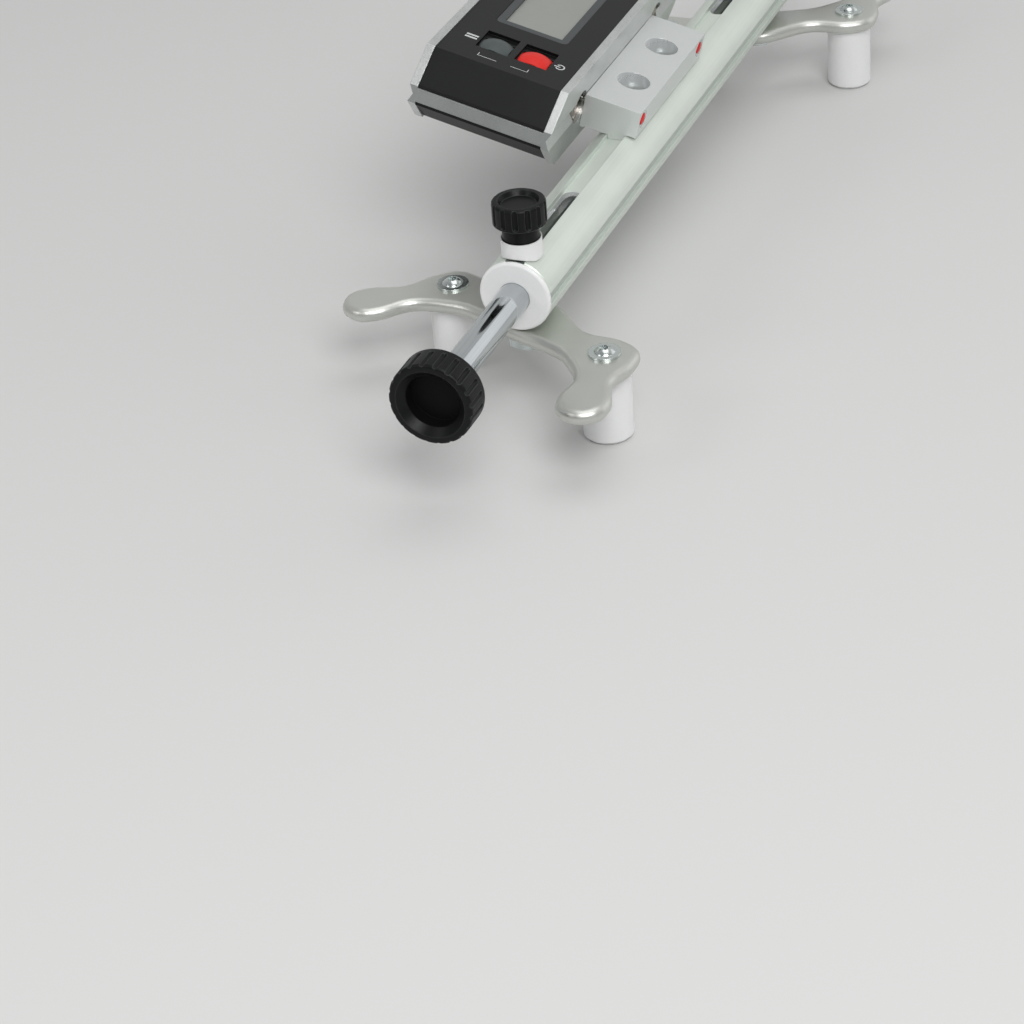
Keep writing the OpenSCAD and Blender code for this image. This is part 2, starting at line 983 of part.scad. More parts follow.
// Cup-shaped fluted knob, its mouth facing away from the bar
module end_knob(far) {
    flute_r = 1.1;
    flute_depth = 0.7;
    flute_stop = 3.4;
    flute_l = end_knob_l - flute_stop;
    rim_round = 1.2;
    rim_mid = corner_share * rim_round;
    floor_t = end_knob_l - cup_depth;
    color("#1E1F20")
        at_end(far)
            translate([knob_back, 0, 0])
                rotate([0, -90, 0])
                    difference() {
                        rotate_extrude()
                            polygon([
                                [rod_r + run_gap, 0],
                                [end_knob_r - edge, 0],
                                [end_knob_r, edge],
                                [end_knob_r, end_knob_l - rim_round],
                                [end_knob_r - rim_mid, end_knob_l - rim_mid],
                                [end_knob_r - rim_round, end_knob_l],
                                [cup_r + cup_chamfer, end_knob_l],
                                [cup_r, end_knob_l - cup_chamfer],
                                [cup_r, floor_t],
                                [0, floor_t],
                                [0, rod_seat + run_gap],
                                [rod_r + run_gap, rod_seat + run_gap]
                            ]);
                        for (i = [0 : end_flutes - 1])
                            rotate(i * 360 / end_flutes)
                                translate([end_knob_r + flute_r - flute_depth, 0, 0]) {
                                    translate([0, 0, -cut])
                                        cylinder(r = flute_r, h = flute_l + cut);
                                    translate([0, 0, flute_l])
                                        sphere(r = flute_r);
                                }
                    }
}

module near_end_knob() {
    end_knob(false);
}

module far_end_knob() {
    end_knob(true);
}

// Stepped stud: head and shoulder for the claw, thinner above for the lock knob
module stud(far) {
    step_z = stud_step - rod_r;
    stud_top = lock_z + lock_neck_h + stud_bite;
    color("#9A9C9C")
        at_end(far)
            difference() {
                union() {
                    translate([0, 0, head_top])
                        cylinder(r = shoulder_r, h = step_z - head_top);
                    translate([0, 0, step_z - edge])
                        cylinder(r = stud_r, h = stud_top - step_z + edge);
                    translate([0, 0, head_top - stud_head_h])
                        cylinder(r = stud_head_r, h = stud_head_h);
                }
                translate([0, 0, head_top - stud_head_h - cut])
                    cylinder(r = hex_r, h = hex_d + cut, $fn = 6);
            }
}

module near_stud() {
    stud(false);
}

module far_stud() {
    stud(true);
}

// White saddle that rides on the bar's crown and holds the lock knob's neck in its rim
module collar(far) {
    color("#DCDCDC")
        at_end(far)
            difference() {
                translate([0, 0, collar_z])
                    rotate_extrude()
                        polygon([
                            [stud_r + run_gap, collar_foot],
                            [collar_r, collar_foot],
                            [collar_r, collar_h],
                            [lock_neck_r + move_gap, collar_h],
                            [lock_neck_r + move_gap, collar_floor],
                            [stud_r + run_gap, collar_floor]
                        ]);
                along_x(4 * collar_r)
                    circle(r = saddle_r);
            }
}

module near_collar() {
    collar(false);
}

module far_collar() {
    collar(true);
}

// Fluted knob with a dished top on a plain neck
module lock_knob(far) {
    flute_r = 1.2;
    flute_depth = 0.8;
    flute_stop = 2.4;
    flute_l = lock_head_h - flute_stop;
    hole_top = lock_neck_h + stud_bite + blind_gap;
    dish_z = lock_neck_h + lock_head_h - lock_dish_d;
    color("#1E1F20")
        at_end(far)
            translate([0, 0, lock_z])
                difference() {
                    rotate_extrude()
                        polygon([
                            [stud_r + run_gap, 0],
                            [lock_neck_r, 0],
                            [lock_neck_r, lock_neck_h - lock_flare],
                            [lock_neck_r + edge, lock_neck_h - lock_flare + edge],
                            [lock_neck_r + edge, lock_neck_h],
                            [lock_r - edge, lock_neck_h],
                            [lock_r, lock_neck_h + edge],
                            [lock_r, lock_neck_h + lock_head_h - lock_round],
                            [lock_r - corner_share * lock_round,
                                lock_neck_h + lock_head_h - corner_share * lock_round],
                            [lock_r - lock_round, lock_neck_h + lock_head_h],
                            [lock_dish_r + edge, lock_neck_h + lock_head_h],
                            [lock_dish_r - edge, dish_z],
                            [0, dish_z],
                            [0, hole_top],
                            [stud_r + run_gap, hole_top]
                        ]);
                    for (i = [0 : lock_flutes - 1])
                        rotate((i + 0.5) * 360 / lock_flutes)
                            translate([lock_r + flute_r - flute_depth, 0, lock_neck_h]) {
                                translate([0, 0, -cut])
                                    cylinder(r = flute_r, h = flute_l + cut);
                                translate([0, 0, flute_l])
                                    sphere(r = flute_r);
                            }
                }
}

module near_lock_knob() {
    lock_knob(false);
}

module far_lock_knob() {
    lock_knob(true);
}

// Half of the claw's outline, from the hub's inner side round one lobe and finger to its outer side
function claw_half() =
    let (lobe = [0, peg_pitch / 2], tip = lobe + [-finger_out, finger_up])
    let (way = (tip - lobe) / norm(tip - lobe), side = [way[1], -way[0]])
    let (neck = lobe + neck_at * (tip - lobe))
    concat(
        [[hub_in, 0], [waist_in, waist_y]],
        [for (a = lobe_angles) on_circle(lobe, lobe_r, a)],
        [neck + side * neck_w / 2],
        [for (a = tip_angles) on_circle(tip, tip_r, a)],
        [neck - side * neck_w / 2, crotch, [-waist_out, waist_y], [-hub_out, 0]]
    );

// Whole outline: the half and its mirror image
function claw_loop() =
    let (half = claw_half(), n = len(half))
    concat(half, [for (i = [n - 2 : -1 : 1]) [half[i][0], -half[i][1]]]);

// Triangles between two chains of a loop, from points i and j on towards each other by the shorter step
function strip(p, i, j) =
    j - i < 2 ? [] :
    norm(p[i + 1] - p[j % len(p)]) < norm(p[i] - p[j - 1])
        ? concat([[i, j % len(p), i + 1]], strip(p, i + 1, j))
        : concat([[i, j % len(p), j - 1]], strip(p, i, j - 1));

// Plate with a full round edge: rings of the outline, drawn in towards both faces along a half circle
module bullnose_plate(loop, radius) {
    normals = loop_normals(loop);
    n = len(loop);
    angles = [for (j = [0 : edge_steps]) -90 + 180 * j / edge_steps];
    points = [for (a = angles, i = [0 : n - 1])
        let (p = loop[i] - normals[i] * radius * (1 - cos(a)))
        [p[0], p[1], radius * sin(a)]];
    walls = [for (j = [0 : edge_steps - 1], i = [0 : n - 1], h = [0, 1])
        let (a = j * n + i, b = j * n + (i + 1) % n)
        h == 0 ? [a, a + n, b + n] : [a, b + n, b]];
    inset = [for (i = [0 : n - 1]) loop[i] - normals[i] * radius];
    flat = concat(strip(inset, 0, n / 2), strip(inset, n / 2, n));
    roof = edge_steps * n;
    top = [for (t = flat) [roof + t[0], roof + t[1], roof + t[2]]];
    bottom = [for (t = flat) [t[0], t[2], t[1]]];
    polyhedron(points = points, faces = concat(walls, top, bottom), convexity = 6);
}

// Puts children at the claw's two pegs
module at_pegs(far) {
    at_end(far)
        rotate([0, 0, -swivel])
            for (s = [-1, 1])
                translate([0, s * peg_pitch / 2, 0])
                    children();
}

module claw(far) {
    color("#B0B3AE")
        difference() {
            at_end(far)
                rotate([0, 0, -swivel])
                    translate([0, 0, claw_mid])
                        bullnose_plate(smooth_loop(claw_loop(), curve_steps), claw_t / 2);
            at_end(far)
                translate([0, 0, claw_bottom - cut])
                    cylinder(r = shoulder_r + run_gap, h = claw_t + 2 * cut);
            at_pegs(far)
                translate([0, 0, claw_bottom - cut])
                    cylinder(r = peg_screw_r + fit_gap, h = claw_t + 2 * cut);
        }
}

module near_claw() {
    claw(false);
}

module far_claw() {
    claw(true);
}

// White pegs that bear on the inside of the wheel's rim
module pegs(far) {
    color("#DCDCDC")
        at_pegs(far)
            translate([0, 0, claw_bottom - peg_l])
                difference() {
                    rotate_extrude()
                        polygon([
                            [0, 0],
                            [peg_r - peg_chamfer, 0],
                            [peg_r, peg_chamfer],
                            [peg_r, peg_l - edge],
                            [peg_r - edge, peg_l],
                            [0, peg_l]
                        ]);
                    translate([0, 0, peg_l + claw_t - peg_screw_l - blind_gap])
                        cylinder(r = peg_screw_r + run_gap, h = peg_screw_l);
                }
}

module near_pegs() {
    pegs(false);
}

module far_pegs() {
    pegs(true);
}

// Flanged button-head screws that hold the pegs
module peg_screws(far) {
    dome_r = (pow(peg_screw_head_r, 2) + pow(peg_screw_head_h, 2)) / (2 * peg_screw_head_h);
    color("#C8CCCC")
        at_pegs(far)
            translate([0, 0, claw_top])
                difference() {
                    union() {
                        translate([0, 0, -peg_screw_l])
                            cylinder(r = peg_screw_r, h = peg_screw_l + edge);
                        cylinder(r = peg_screw_flange_r, h = peg_screw_flange_h);
                        intersection() {
                            cylinder(r = peg_screw_head_r, h = peg_screw_head_h);
                            translate([0, 0, peg_screw_head_h - dome_r])
                                sphere(r = dome_r);
                        }
                    }
                    translate([0, 0, peg_screw_head_h - socket_d])
                        cylinder(r = socket_r, h = socket_d + cut, $fn = 6);
                }
}

module near_peg_screws() {
    peg_screws(false);
}

module far_peg_screws() {
    peg_screws(true);
}

profile_bar();
near_end_ring();
far_end_ring();
mounting_block();
block_screws();
nut_strip();
level_screws();
screw_seals();
base_magnets();
level_frame();
front_housing();
display_frame();
display_panel();
circuit_board();
board_screws();
tilt_sensor();
buzzer();
key_switches();
back_cover();
cover_screws();
battery_door();
batteries();
hold_button();
power_button();
near_rod();
near_guide_bush();
near_end_knob();
near_stud();
near_collar();
near_lock_knob();
near_claw();
near_pegs();
near_peg_screws();
far_rod();
far_guide_bush();
far_end_knob();
far_stud();
far_collar();
far_lock_knob();
far_claw();
far_pegs();
far_peg_screws();
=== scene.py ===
"""Digital level for a steering wheel, dressed and lit for the studio.

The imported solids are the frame. Each sub-assembly below is a class that holds its sizes, makes
the pieces that the solids leave to the scene, and gives every solid its finish.
"""

import json
import logging
import math
from contextlib import contextmanager
from dataclasses import dataclass
from enum import Enum
from typing import Any, Callable, Dict, Iterable, Iterator, List, Optional, Sequence, Tuple

import bmesh
import bpy
from mathutils import Matrix, Vector

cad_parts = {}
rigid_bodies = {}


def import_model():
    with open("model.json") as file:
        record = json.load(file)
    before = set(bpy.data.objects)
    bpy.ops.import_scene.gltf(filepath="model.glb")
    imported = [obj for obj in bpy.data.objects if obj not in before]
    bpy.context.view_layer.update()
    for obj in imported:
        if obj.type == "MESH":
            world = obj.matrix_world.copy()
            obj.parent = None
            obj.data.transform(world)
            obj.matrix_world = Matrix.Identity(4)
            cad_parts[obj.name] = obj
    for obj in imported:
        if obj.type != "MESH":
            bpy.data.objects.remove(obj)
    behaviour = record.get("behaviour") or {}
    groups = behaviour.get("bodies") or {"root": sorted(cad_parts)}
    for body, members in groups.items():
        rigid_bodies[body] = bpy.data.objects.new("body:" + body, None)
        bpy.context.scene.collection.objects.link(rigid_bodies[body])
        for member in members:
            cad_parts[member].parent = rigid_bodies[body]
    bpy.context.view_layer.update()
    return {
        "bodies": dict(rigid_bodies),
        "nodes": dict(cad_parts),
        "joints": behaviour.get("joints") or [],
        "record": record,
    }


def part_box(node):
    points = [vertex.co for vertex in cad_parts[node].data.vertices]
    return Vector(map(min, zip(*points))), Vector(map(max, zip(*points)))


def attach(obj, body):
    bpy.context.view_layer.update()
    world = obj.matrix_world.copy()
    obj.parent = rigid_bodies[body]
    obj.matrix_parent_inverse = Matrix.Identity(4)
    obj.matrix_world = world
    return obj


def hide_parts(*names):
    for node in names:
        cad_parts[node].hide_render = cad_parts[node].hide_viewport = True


LOG = logging.getLogger("wheel_level")
MM = 0.001
# Points of a mesh that lie this near each other, in metres, are one point.
MERGE_M = 1e-6
# The noise that colours, roughens and lifts a surface, and the slow drift that is laid over it.
GRAIN_DETAIL = 3.0
GRAIN_ROUGHNESS = 0.6
GRAIN_LOW = 0.3
GRAIN_HIGH = 0.7
DRIFT_MM = 22.0
DRIFT_DETAIL = 2.0
DRIFT_SHARE = 0.45
# Where on the noise the dark and the full colour of a finish start.
DARK_AT = 0.36
FULL_AT = 0.58
# The smoothest that the grain makes a surface, and how strongly it lifts one.
LEAST_ROUGHNESS = 0.02
RELIEF = 0.6
COAT_ROUGHNESS = 0.08
# How much light enters a translucent plastic, and how far its red, green and blue go.
GLOW_WEIGHT = 0.25
GLOW_SPREAD = (1.0, 0.95, 0.9)
# The cosine between the rounded and the flat normal where the lighter edges, partly wear and partly a
# painted highlight, start and where they are full.
WEAR_AND_HIGHLIGHT_STARTS = 0.99
WEAR_AND_HIGHLIGHT_FULL = 0.82
WEAR_AND_HIGHLIGHT_GAIN = 1.3
EDGE_SAMPLES = 4
Colour = Tuple[float, float, float, float]
Place = Tuple[float, float]


class Body(str, Enum):
    """The rigid bodies that a piece can ride on."""

    BAR = "bar"
    NEAR_SLIDE = "near_slide"
    NEAR_LOCK = "near_lock"
    NEAR_GRIP = "near_grip"
    FAR_SLIDE = "far_slide"
    FAR_LOCK = "far_lock"
    FAR_GRIP = "far_grip"


class Run(Enum):
    """The way that drawing, brushing or milling lines lie on a piece."""

    ALONG_BAR = "along the bar"
    ALL_WAYS = "all ways"


class Blend(str, Enum):
    """How the colour of cut faces, and of faces with painted light and shade, goes over the rest of a
    finish.
    """

    MIX = "MIX"
    MULTIPLY = "MULTIPLY"


class Side(str, Enum):
    """The two ends of the bar, as seen from the camera."""

    NEAR = "near"
    FAR = "far"


class Pick(str, Enum):
    """What is selected in edit mode."""

    VERT = "VERT"
    EDGE = "EDGE"
    FACE = "FACE"


def linear(code: str, alpha: float = 1.0) -> Colour:
    """Turns an sRGB hex colour into linear light.

    Args:
        code: the colour as six hex digits after a hash sign.
        alpha: the opacity.

    Returns:
        Linear red, green, blue and alpha.
    """
    parts = [int(code[i:i + 2], 16) / 255.0 for i in (1, 3, 5)]
    red, green, blue = (p / 12.92 if p <= 0.04045 else ((p + 0.055) / 1.055) ** 2.4 for p in parts)
    return (red, green, blue, alpha)


def add_node(
    tree: bpy.types.NodeTree,
    kind: str,
    links: Optional[Dict[Any, Tuple[bpy.types.Node, Any]]] = None,
    values: Optional[Dict[Any, Any]] = None,
    **settings: Any,
) -> bpy.types.Node:
    """Adds a node with its settings, values and incoming links.

    Args:
        tree: the node tree.
        kind: the node's type name.
        links: input socket to the node and output socket that feed it.
        values: input socket to its fixed value.
        settings: attributes of the node itself.

    Returns:
        The new node.
    """
    node = tree.nodes.new(kind)
    for name, value in settings.items():
        setattr(node, name, value)
    for socket, value in (values or {}).items():
        node.inputs[socket].default_value = value
    for socket, (source, output) in (links or {}).items():
        tree.links.new(source.outputs[output], node.inputs[socket])
    return node


def activate(piece: bpy.types.Object) -> None:
    """Makes a piece active and the only one selected, so that an operator touches nothing else.

    Args:
        piece: the object that the next operator works on.
    """
    bpy.ops.object.select_all(action="DESELECT")
    piece.select_set(True)
    bpy.context.view_layer.objects.active = piece


@contextmanager
def editing(piece: bpy.types.Object, mode: Pick) -> Iterator[bmesh.types.BMesh]:
    """Opens a piece in edit mode with nothing selected, and closes it after.

    Args:
        piece: the mesh object.
        mode: what will be selected.

    Returns:
        The mesh in edit mode.
    """
    activate(piece)
    bpy.ops.object.mode_set(mode="EDIT")
    bpy.ops.mesh.select_mode(type=mode.value)
    bpy.ops.mesh.select_all(action="DESELECT")
    yield bmesh.from_edit_mesh(piece.data)
    bpy.ops.object.mode_set(mode="OBJECT")


def choose(mesh: bmesh.types.BMesh, items: Iterable[Any], test: Callable[[Any], bool]) -> None:
    """Selects the points, edges or faces that pass a test of their place.

    Args:
        mesh: the mesh in edit mode.
        items: its points, edges or faces.
        test: says whether one is wanted.
    """
    for item in items:
        item.select_set(test(item))
    mesh.select_flush_mode()


def settle(piece: bpy.types.Object, name: str, seat: Optional[Matrix] = None) -> bpy.types.Object:
    """Names a piece and puts its place in its mesh.

    Args:
        piece: the piece, where it was modelled.
        name: its name.
        seat: where the frame that it was modelled in sits.

    Returns:
        The piece, at the origin.
    """
    piece.name = name
    piece.data.name = name
    if seat is not None:
        piece.matrix_world = seat @ piece.matrix_world
    activate(piece)
    bpy.ops.object.transform_apply(location=True, rotation=True, scale=True)
    return piece


def modify(piece: bpy.types.Object, kind: str, **settings: Any) -> None:
    """Adds a modifier and applies it.

    Args:
        piece: the mesh object.
        kind: the modifier's type name.
        settings: its settings.
    """
    activate(piece)
    modifier = piece.modifiers.new(kind.lower(), kind)
    for name, value in settings.items():
        setattr(modifier, name, value)
    bpy.ops.object.modifier_apply(modifier=modifier.name)


def merged_copy(solid: bpy.types.Object, name: str) -> bpy.types.Object:
    """Copies a solid's mesh and merges its loose triangles.

    Args:
        solid: the solid from the frame.
        name: the copy's name.

    Returns:
        The copy, selected and active.
    """
    piece = bpy.data.objects.new(name, solid.data.copy())
    piece.data.name = name
    bpy.context.scene.collection.objects.link(piece)
    activate(piece)
    bpy.ops.mesh.customdata_custom_splitnormals_clear()
    with editing(piece, Pick.VERT):
        bpy.ops.mesh.select_all(action="SELECT")
        bpy.ops.mesh.remove_doubles(threshold=MERGE_M)
    return piece


def corner(
    middle: Place, radius: float, start_deg: float, end_deg: float, count: int = 6
) -> List[Place]:
    """Lists points round a corner of an outline.

    Args:
        middle: the corner's centre, as radius and height.
        radius: the corner's own radius.
        start_deg: where it starts, from the outward direction towards the upward one.
        end_deg: where it ends.
        count: how many steps it takes.

    Returns:
        Its points, as radius and height.
    """
    turns = [math.radians(start_deg + (end_deg - start_deg) * i / count) for i in range(count + 1)]
    return [(middle[0] + radius * math.cos(t), middle[1] + radius * math.sin(t)) for t in turns]


def turned(outline: Sequence[Place], steps: int) -> bpy.types.Object:
    """Turns an outline round the z axis, as on a lathe.

    Args:
        outline: radius and height of its points in millimetres, from pole to pole.
        steps: how many steps a whole turn takes.

    Returns:
        The closed body.
    """
    bpy.ops.object.select_all(action="DESELECT")
    bpy.ops.mesh.primitive_plane_add(size=MM)
    piece = bpy.context.object
    with editing(piece, Pick.VERT):
        bpy.ops.mesh.select_all(action="SELECT")
        bpy.ops.mesh.merge(type="CENTER")
        bpy.ops.transform.translate(value=(outline[0][0] * MM, 0.0, outline[0][1] * MM))
        for (out, high), (next_out, next_high) in zip(outline, outline[1:]):
            way = ((next_out - out) * MM, 0.0, (next_high - high) * MM)
            bpy.ops.mesh.extrude_region_move(TRANSFORM_OT_translate={"value": way})
        bpy.ops.mesh.select_all(action="SELECT")
        bpy.ops.mesh.spin(steps=steps, angle=math.tau, center=(0.0, 0.0, 0.0), axis=(0.0, 0.0, 1.0))
        bpy.ops.mesh.select_all(action="SELECT")
        bpy.ops.mesh.remove_doubles(threshold=MERGE_M)
        bpy.ops.mesh.normals_make_consistent(inside=False)
    return piece


@dataclass(frozen=True)
class Finish:
    """A real material and how its surface was made.

    The pattern is noise on the piece's own coordinates. Its grain is a real width in millimetres,
    stretched by ``streak`` along the way that tools or dies ran over the surface. The edge colour is
    partly wear that hands and bench tops have rubbed and partly a painted highlight. Two more colours
    go on the faces that the two masks pick out: bare cut metal, painted light and painted shade.
    """

    name: str
    slot: str
    colour: str
    dark: str
    roughness: float
    metallic: float = 0.0
    specular: float = 0.5
    grain_mm: float = 0.6
    streak: float = 1.0
    run: Run = Run.ALL_WAYS
    swing: float = 0.05
    smudge: float = 0.03
    bump_mm: float = 0.01
    edge_mm: float = 0.25
    wear_and_highlight: str = ""
    cut_and_painted_light: str = ""
    cut_roughness: float = 0.16
    cut_blend: Blend = Blend.MIX
    painted_groove_shade: str = ""
    coat: float = 0.0
    glow_mm: float = 0.0
    tilt_deg: float = 0.0

    def stretch(self) -> Tuple[float, float, float]:
        """Works out how often the pattern repeats.

        Returns:
            The repeats per metre along x, y and z.
        """
        fine = 1.0 / (self.grain_mm * MM)
        if self.run is Run.ALONG_BAR:
            return (fine / self.streak, fine, fine)
        return (fine, fine, fine)

    def set_constants(self, shader: bpy.types.Node) -> None:
        """Sets what is the same all over the surface on the shader itself.

        Args:
            shader: the material's main shader.
        """
        shader.inputs["Metallic"].default_value = self.metallic
        shader.inputs["Specular IOR Level"].default_value = self.specular
        shader.inputs["Coat Weight"].default_value = self.coat
        shader.inputs["Coat Roughness"].default_value = COAT_ROUGHNESS
        if self.glow_mm:
            shader.inputs["Subsurface Weight"].default_value = GLOW_WEIGHT
            shader.inputs["Subsurface Radius"].default_value = GLOW_SPREAD
            shader.inputs["Subsurface Scale"].default_value = self.glow_mm * MM

    def pattern(self, tree: bpy.types.NodeTree) -> Tuple[bpy.types.Node, bpy.types.Node]:
        """Adds the fine grain and the slow drift of tone over a hand's width.

        Args:
            tree: the material's nodes.

        Returns:
            The grain's noise and the drift's noise.
        """
        place = add_node(tree, "ShaderNodeTexCoord")
        tilted = add_node(
            tree, "ShaderNodeMapping", {"Vector": (place, "Object")},
            {"Rotation": (math.radians(-self.tilt_deg), 0.0, 0.0)})
        scaled = add_node(
            tree, "ShaderNodeMapping", {"Vector": (tilted, "Vector")}, {"Scale": self.stretch()})
        grain = add_node(
            tree, "ShaderNodeTexNoise", {"Vector": (scaled, "Vector")},
            {"Scale": 1.0, "Detail": GRAIN_DETAIL, "Roughness": GRAIN_ROUGHNESS})
        drift = add_node(
            tree, "ShaderNodeTexNoise", {"Vector": (place, "Object")},
            {"Scale": 1.0 / (DRIFT_MM * MM), "Detail": DRIFT_DETAIL})
        return grain, drift

    def cut_and_painted_light_faces(self, tree: bpy.types.NodeTree) -> Optional[bpy.types.Node]:
        """Returns the mask for cut faces and for faces with painted light and shade: none here."""
        return None

    def painted_groove_shade_faces(self, tree: bpy.types.NodeTree) -> Optional[bpy.types.Node]:
        """Returns the mask of groove floors that get painted shade: none here."""
        return None

    def make(self) -> bpy.types.Material:
        """Makes the node material.

        Returns:
            The material, named for what it is.
        """
        material = bpy.data.materials.new(self.name)
        material.use_nodes = True
        tree = material.node_tree
        shader = tree.nodes["Principled BSDF"]
        self.set_constants(shader)
        grain, drift = self.pattern(tree)
        mixed = add_node(
            tree, "ShaderNodeMix", {2: (grain, "Fac"), 3: (drift, "Fac")}, {0: DRIFT_SHARE},
            data_type="FLOAT")
        tone = add_node(tree, "ShaderNodeValToRGB", {"Fac": (mixed, 0)})
        tone.color_ramp.elements[0].position = DARK_AT
        tone.color_ramp.elements[0].color = linear(self.dark)
        tone.color_ramp.elements[1].position = FULL_AT
        tone.color_ramp.elements[1].color = linear(self.colour)
        gloss = add_node(
            tree, "ShaderNodeMapRange", {"Value": (grain, "Fac")},
            {"From Min": GRAIN_LOW, "From Max": GRAIN_HIGH,
             "To Min": max(LEAST_ROUGHNESS, self.roughness - self.swing - self.smudge),
             "To Max": self.roughness + self.swing - self.smudge})
        touched = add_node(
            tree, "ShaderNodeMath", {0: (drift, "Fac"), 2: (gloss, "Result")},
            {1: 2.0 * self.smudge}, operation="MULTIPLY_ADD")
        colour, rough = (tone, "Color"), (touched, "Value")
        soft = add_node(
            tree, "ShaderNodeBevel", values={"Radius": self.edge_mm * MM}, samples=EDGE_SAMPLES)
        # Painted shade on the floors of the bar's side grooves, where a subclass masks them.
        painted_groove_shade = self.painted_groove_shade_faces(tree)
        if painted_groove_shade:
            colour = (add_node(
                tree, "ShaderNodeMix", {0: (painted_groove_shade, 0), 6: colour}, {7: linear(self.painted_groove_shade)},
                data_type="RGBA"), 2)
        # Lighter edges: partly wear and partly a painted highlight.
        if self.wear_and_highlight:
            colour = (self.wear_and_highlight_edges(tree, colour, soft, drift), 2)
        # Bare metal on cut faces, painted shade in the knob's cup, painted light in the block's bores
        # and greyer extrusion ends, where a subclass masks them.
        cut_and_painted_light = self.cut_and_painted_light_faces(tree)
        if cut_and_painted_light:
            colour = (add_node(
                tree, "ShaderNodeMix", {0: (cut_and_painted_light, 0), 6: colour}, {7: linear(self.cut_and_painted_light)},
                data_type="RGBA", blend_type=self.cut_blend.value), 2)
            rough = (add_node(
                tree, "ShaderNodeMix", {0: (cut_and_painted_light, 0), 2: rough}, {3: self.cut_roughness},
                data_type="FLOAT"), 0)
        tree.links.new(colour[0].outputs[colour[1]], shader.inputs["Base Color"])
        tree.links.new(rough[0].outputs[rough[1]], shader.inputs["Roughness"])
        relief = add_node(
            tree, "ShaderNodeBump", {"Height": (grain, "Fac"), "Normal": (soft, "Normal")},
            {"Strength": RELIEF, "Distance": self.bump_mm * MM})
        tree.links.new(relief.outputs["Normal"], shader.inputs["Normal"])
        return material

    def wear_and_highlight_edges(
        self,
        tree: bpy.types.NodeTree,
        colour: Tuple[bpy.types.Node, Any],
        soft: bpy.types.Node,
        drift: bpy.types.Node,
    ) -> bpy.types.Node:
        """Lets the edge colour through where the surface turns over an edge: partly wear, partly a
        painted highlight.

        Args:
            tree: the material's nodes.
            colour: the node and socket of the surface's colour.
            soft: the normals rounded over the edges.
            drift: the slow noise that makes the wear and the painted highlight uneven.

        Returns:
            The node that mixes the two colours.
        """
        flat = add_node(tree, "ShaderNodeNewGeometry")
        bend = add_node(
            tree, "ShaderNodeVectorMath", {0: (soft, "Normal"), 1: (flat, "Normal")},
            operation="DOT_PRODUCT")
        edge = add_node(
            tree, "ShaderNodeMapRange", {"Value": (bend, "Value")},
            {"From Min": WEAR_AND_HIGHLIGHT_STARTS, "From Max": WEAR_AND_HIGHLIGHT_FULL, "To Min": 0.0, "To Max": WEAR_AND_HIGHLIGHT_GAIN})
        patchy = add_node(
            tree, "ShaderNodeMath", {0: (edge, "Result"), 1: (drift, "Fac")},
            operation="MULTIPLY", use_clamp=True)
        return add_node(
            tree, "ShaderNodeMix", {0: (patchy, "Value"), 6: colour}, {7: linear(self.wear_and_highlight)},
            data_type="RGBA")


@dataclass(frozen=True)
class SlottedFinish(Finish):
    """A bar's finish, bare metal where its slots were milled, with painted shade on the floors of its
    side grooves.
    """

    slot_start_mm: float = 85.9
    slot_half_mm: float = 3.75
    cut_middle_mm: float = 58.1
    cut_half_mm: float = 1.68
    axis_mm: float = 48.45
    floor_mm: float = 12.0
    floor_half_mm: float = 2.3
    close_mm: float = 0.3

    def painted_groove_shade_faces(self, tree: bpy.types.NodeTree) -> Optional[bpy.types.Node]:
        """Masks the floors of the side grooves for painted shade, found by their place on the bar.

        Args:
            tree: the material's nodes.

        Returns:
            The node whose first output is the mask.
        """
        place = add_node(tree, "ShaderNodeTexCoord")
        split = add_node(tree, "ShaderNodeSeparateXYZ", {"Vector": (place, "Object")})
        aside = add_node(tree, "ShaderNodeMath", {0: (split, "Y")}, operation="ABSOLUTE")
        floor = add_node(
            tree, "ShaderNodeMath", {0: (aside, 0)}, {1: self.floor_mm * MM, 2: self.close_mm * MM},
            operation="COMPARE")
        level = add_node(
            tree, "ShaderNodeMath", {0: (split, "Z")},
            {1: self.axis_mm * MM, 2: self.floor_half_mm * MM}, operation="COMPARE")
        return add_node(
            tree, "ShaderNodeMath", {0: (floor, 0), 1: (level, 0)}, operation="MULTIPLY")

    def cut_and_painted_light_faces(self, tree: bpy.types.NodeTree) -> Optional[bpy.types.Node]:
        """Masks the walls of the slots, found by their place on the bar.

        Args:
            tree: the material's nodes.

        Returns:
            The node whose first output is the mask.
        """
        place = add_node(tree, "ShaderNodeTexCoord")
        split = add_node(tree, "ShaderNodeSeparateXYZ", {"Vector": (place, "Object")})
        away = add_node(tree, "ShaderNodeMath", {0: (split, "X")}, operation="ABSOLUTE")
        aside = add_node(tree, "ShaderNodeMath", {0: (split, "Y")}, operation="ABSOLUTE")
        past = add_node(
            tree, "ShaderNodeMath", {0: (away, 0)}, {1: self.slot_start_mm * MM},
            operation="GREATER_THAN")
        between = add_node(
            tree, "ShaderNodeMath", {0: (aside, 0)}, {1: self.slot_half_mm * MM},
            operation="LESS_THAN")
        depth = add_node(
            tree, "ShaderNodeMath", {0: (split, "Z")},
            {1: self.cut_middle_mm * MM, 2: self.cut_half_mm * MM}, operation="COMPARE")
        inside = add_node(
            tree, "ShaderNodeMath", {0: (past, 0), 1: (between, 0)}, operation="MULTIPLY")
        return add_node(
            tree, "ShaderNodeMath", {0: (inside, 0), 1: (depth, 0)}, operation="MULTIPLY")


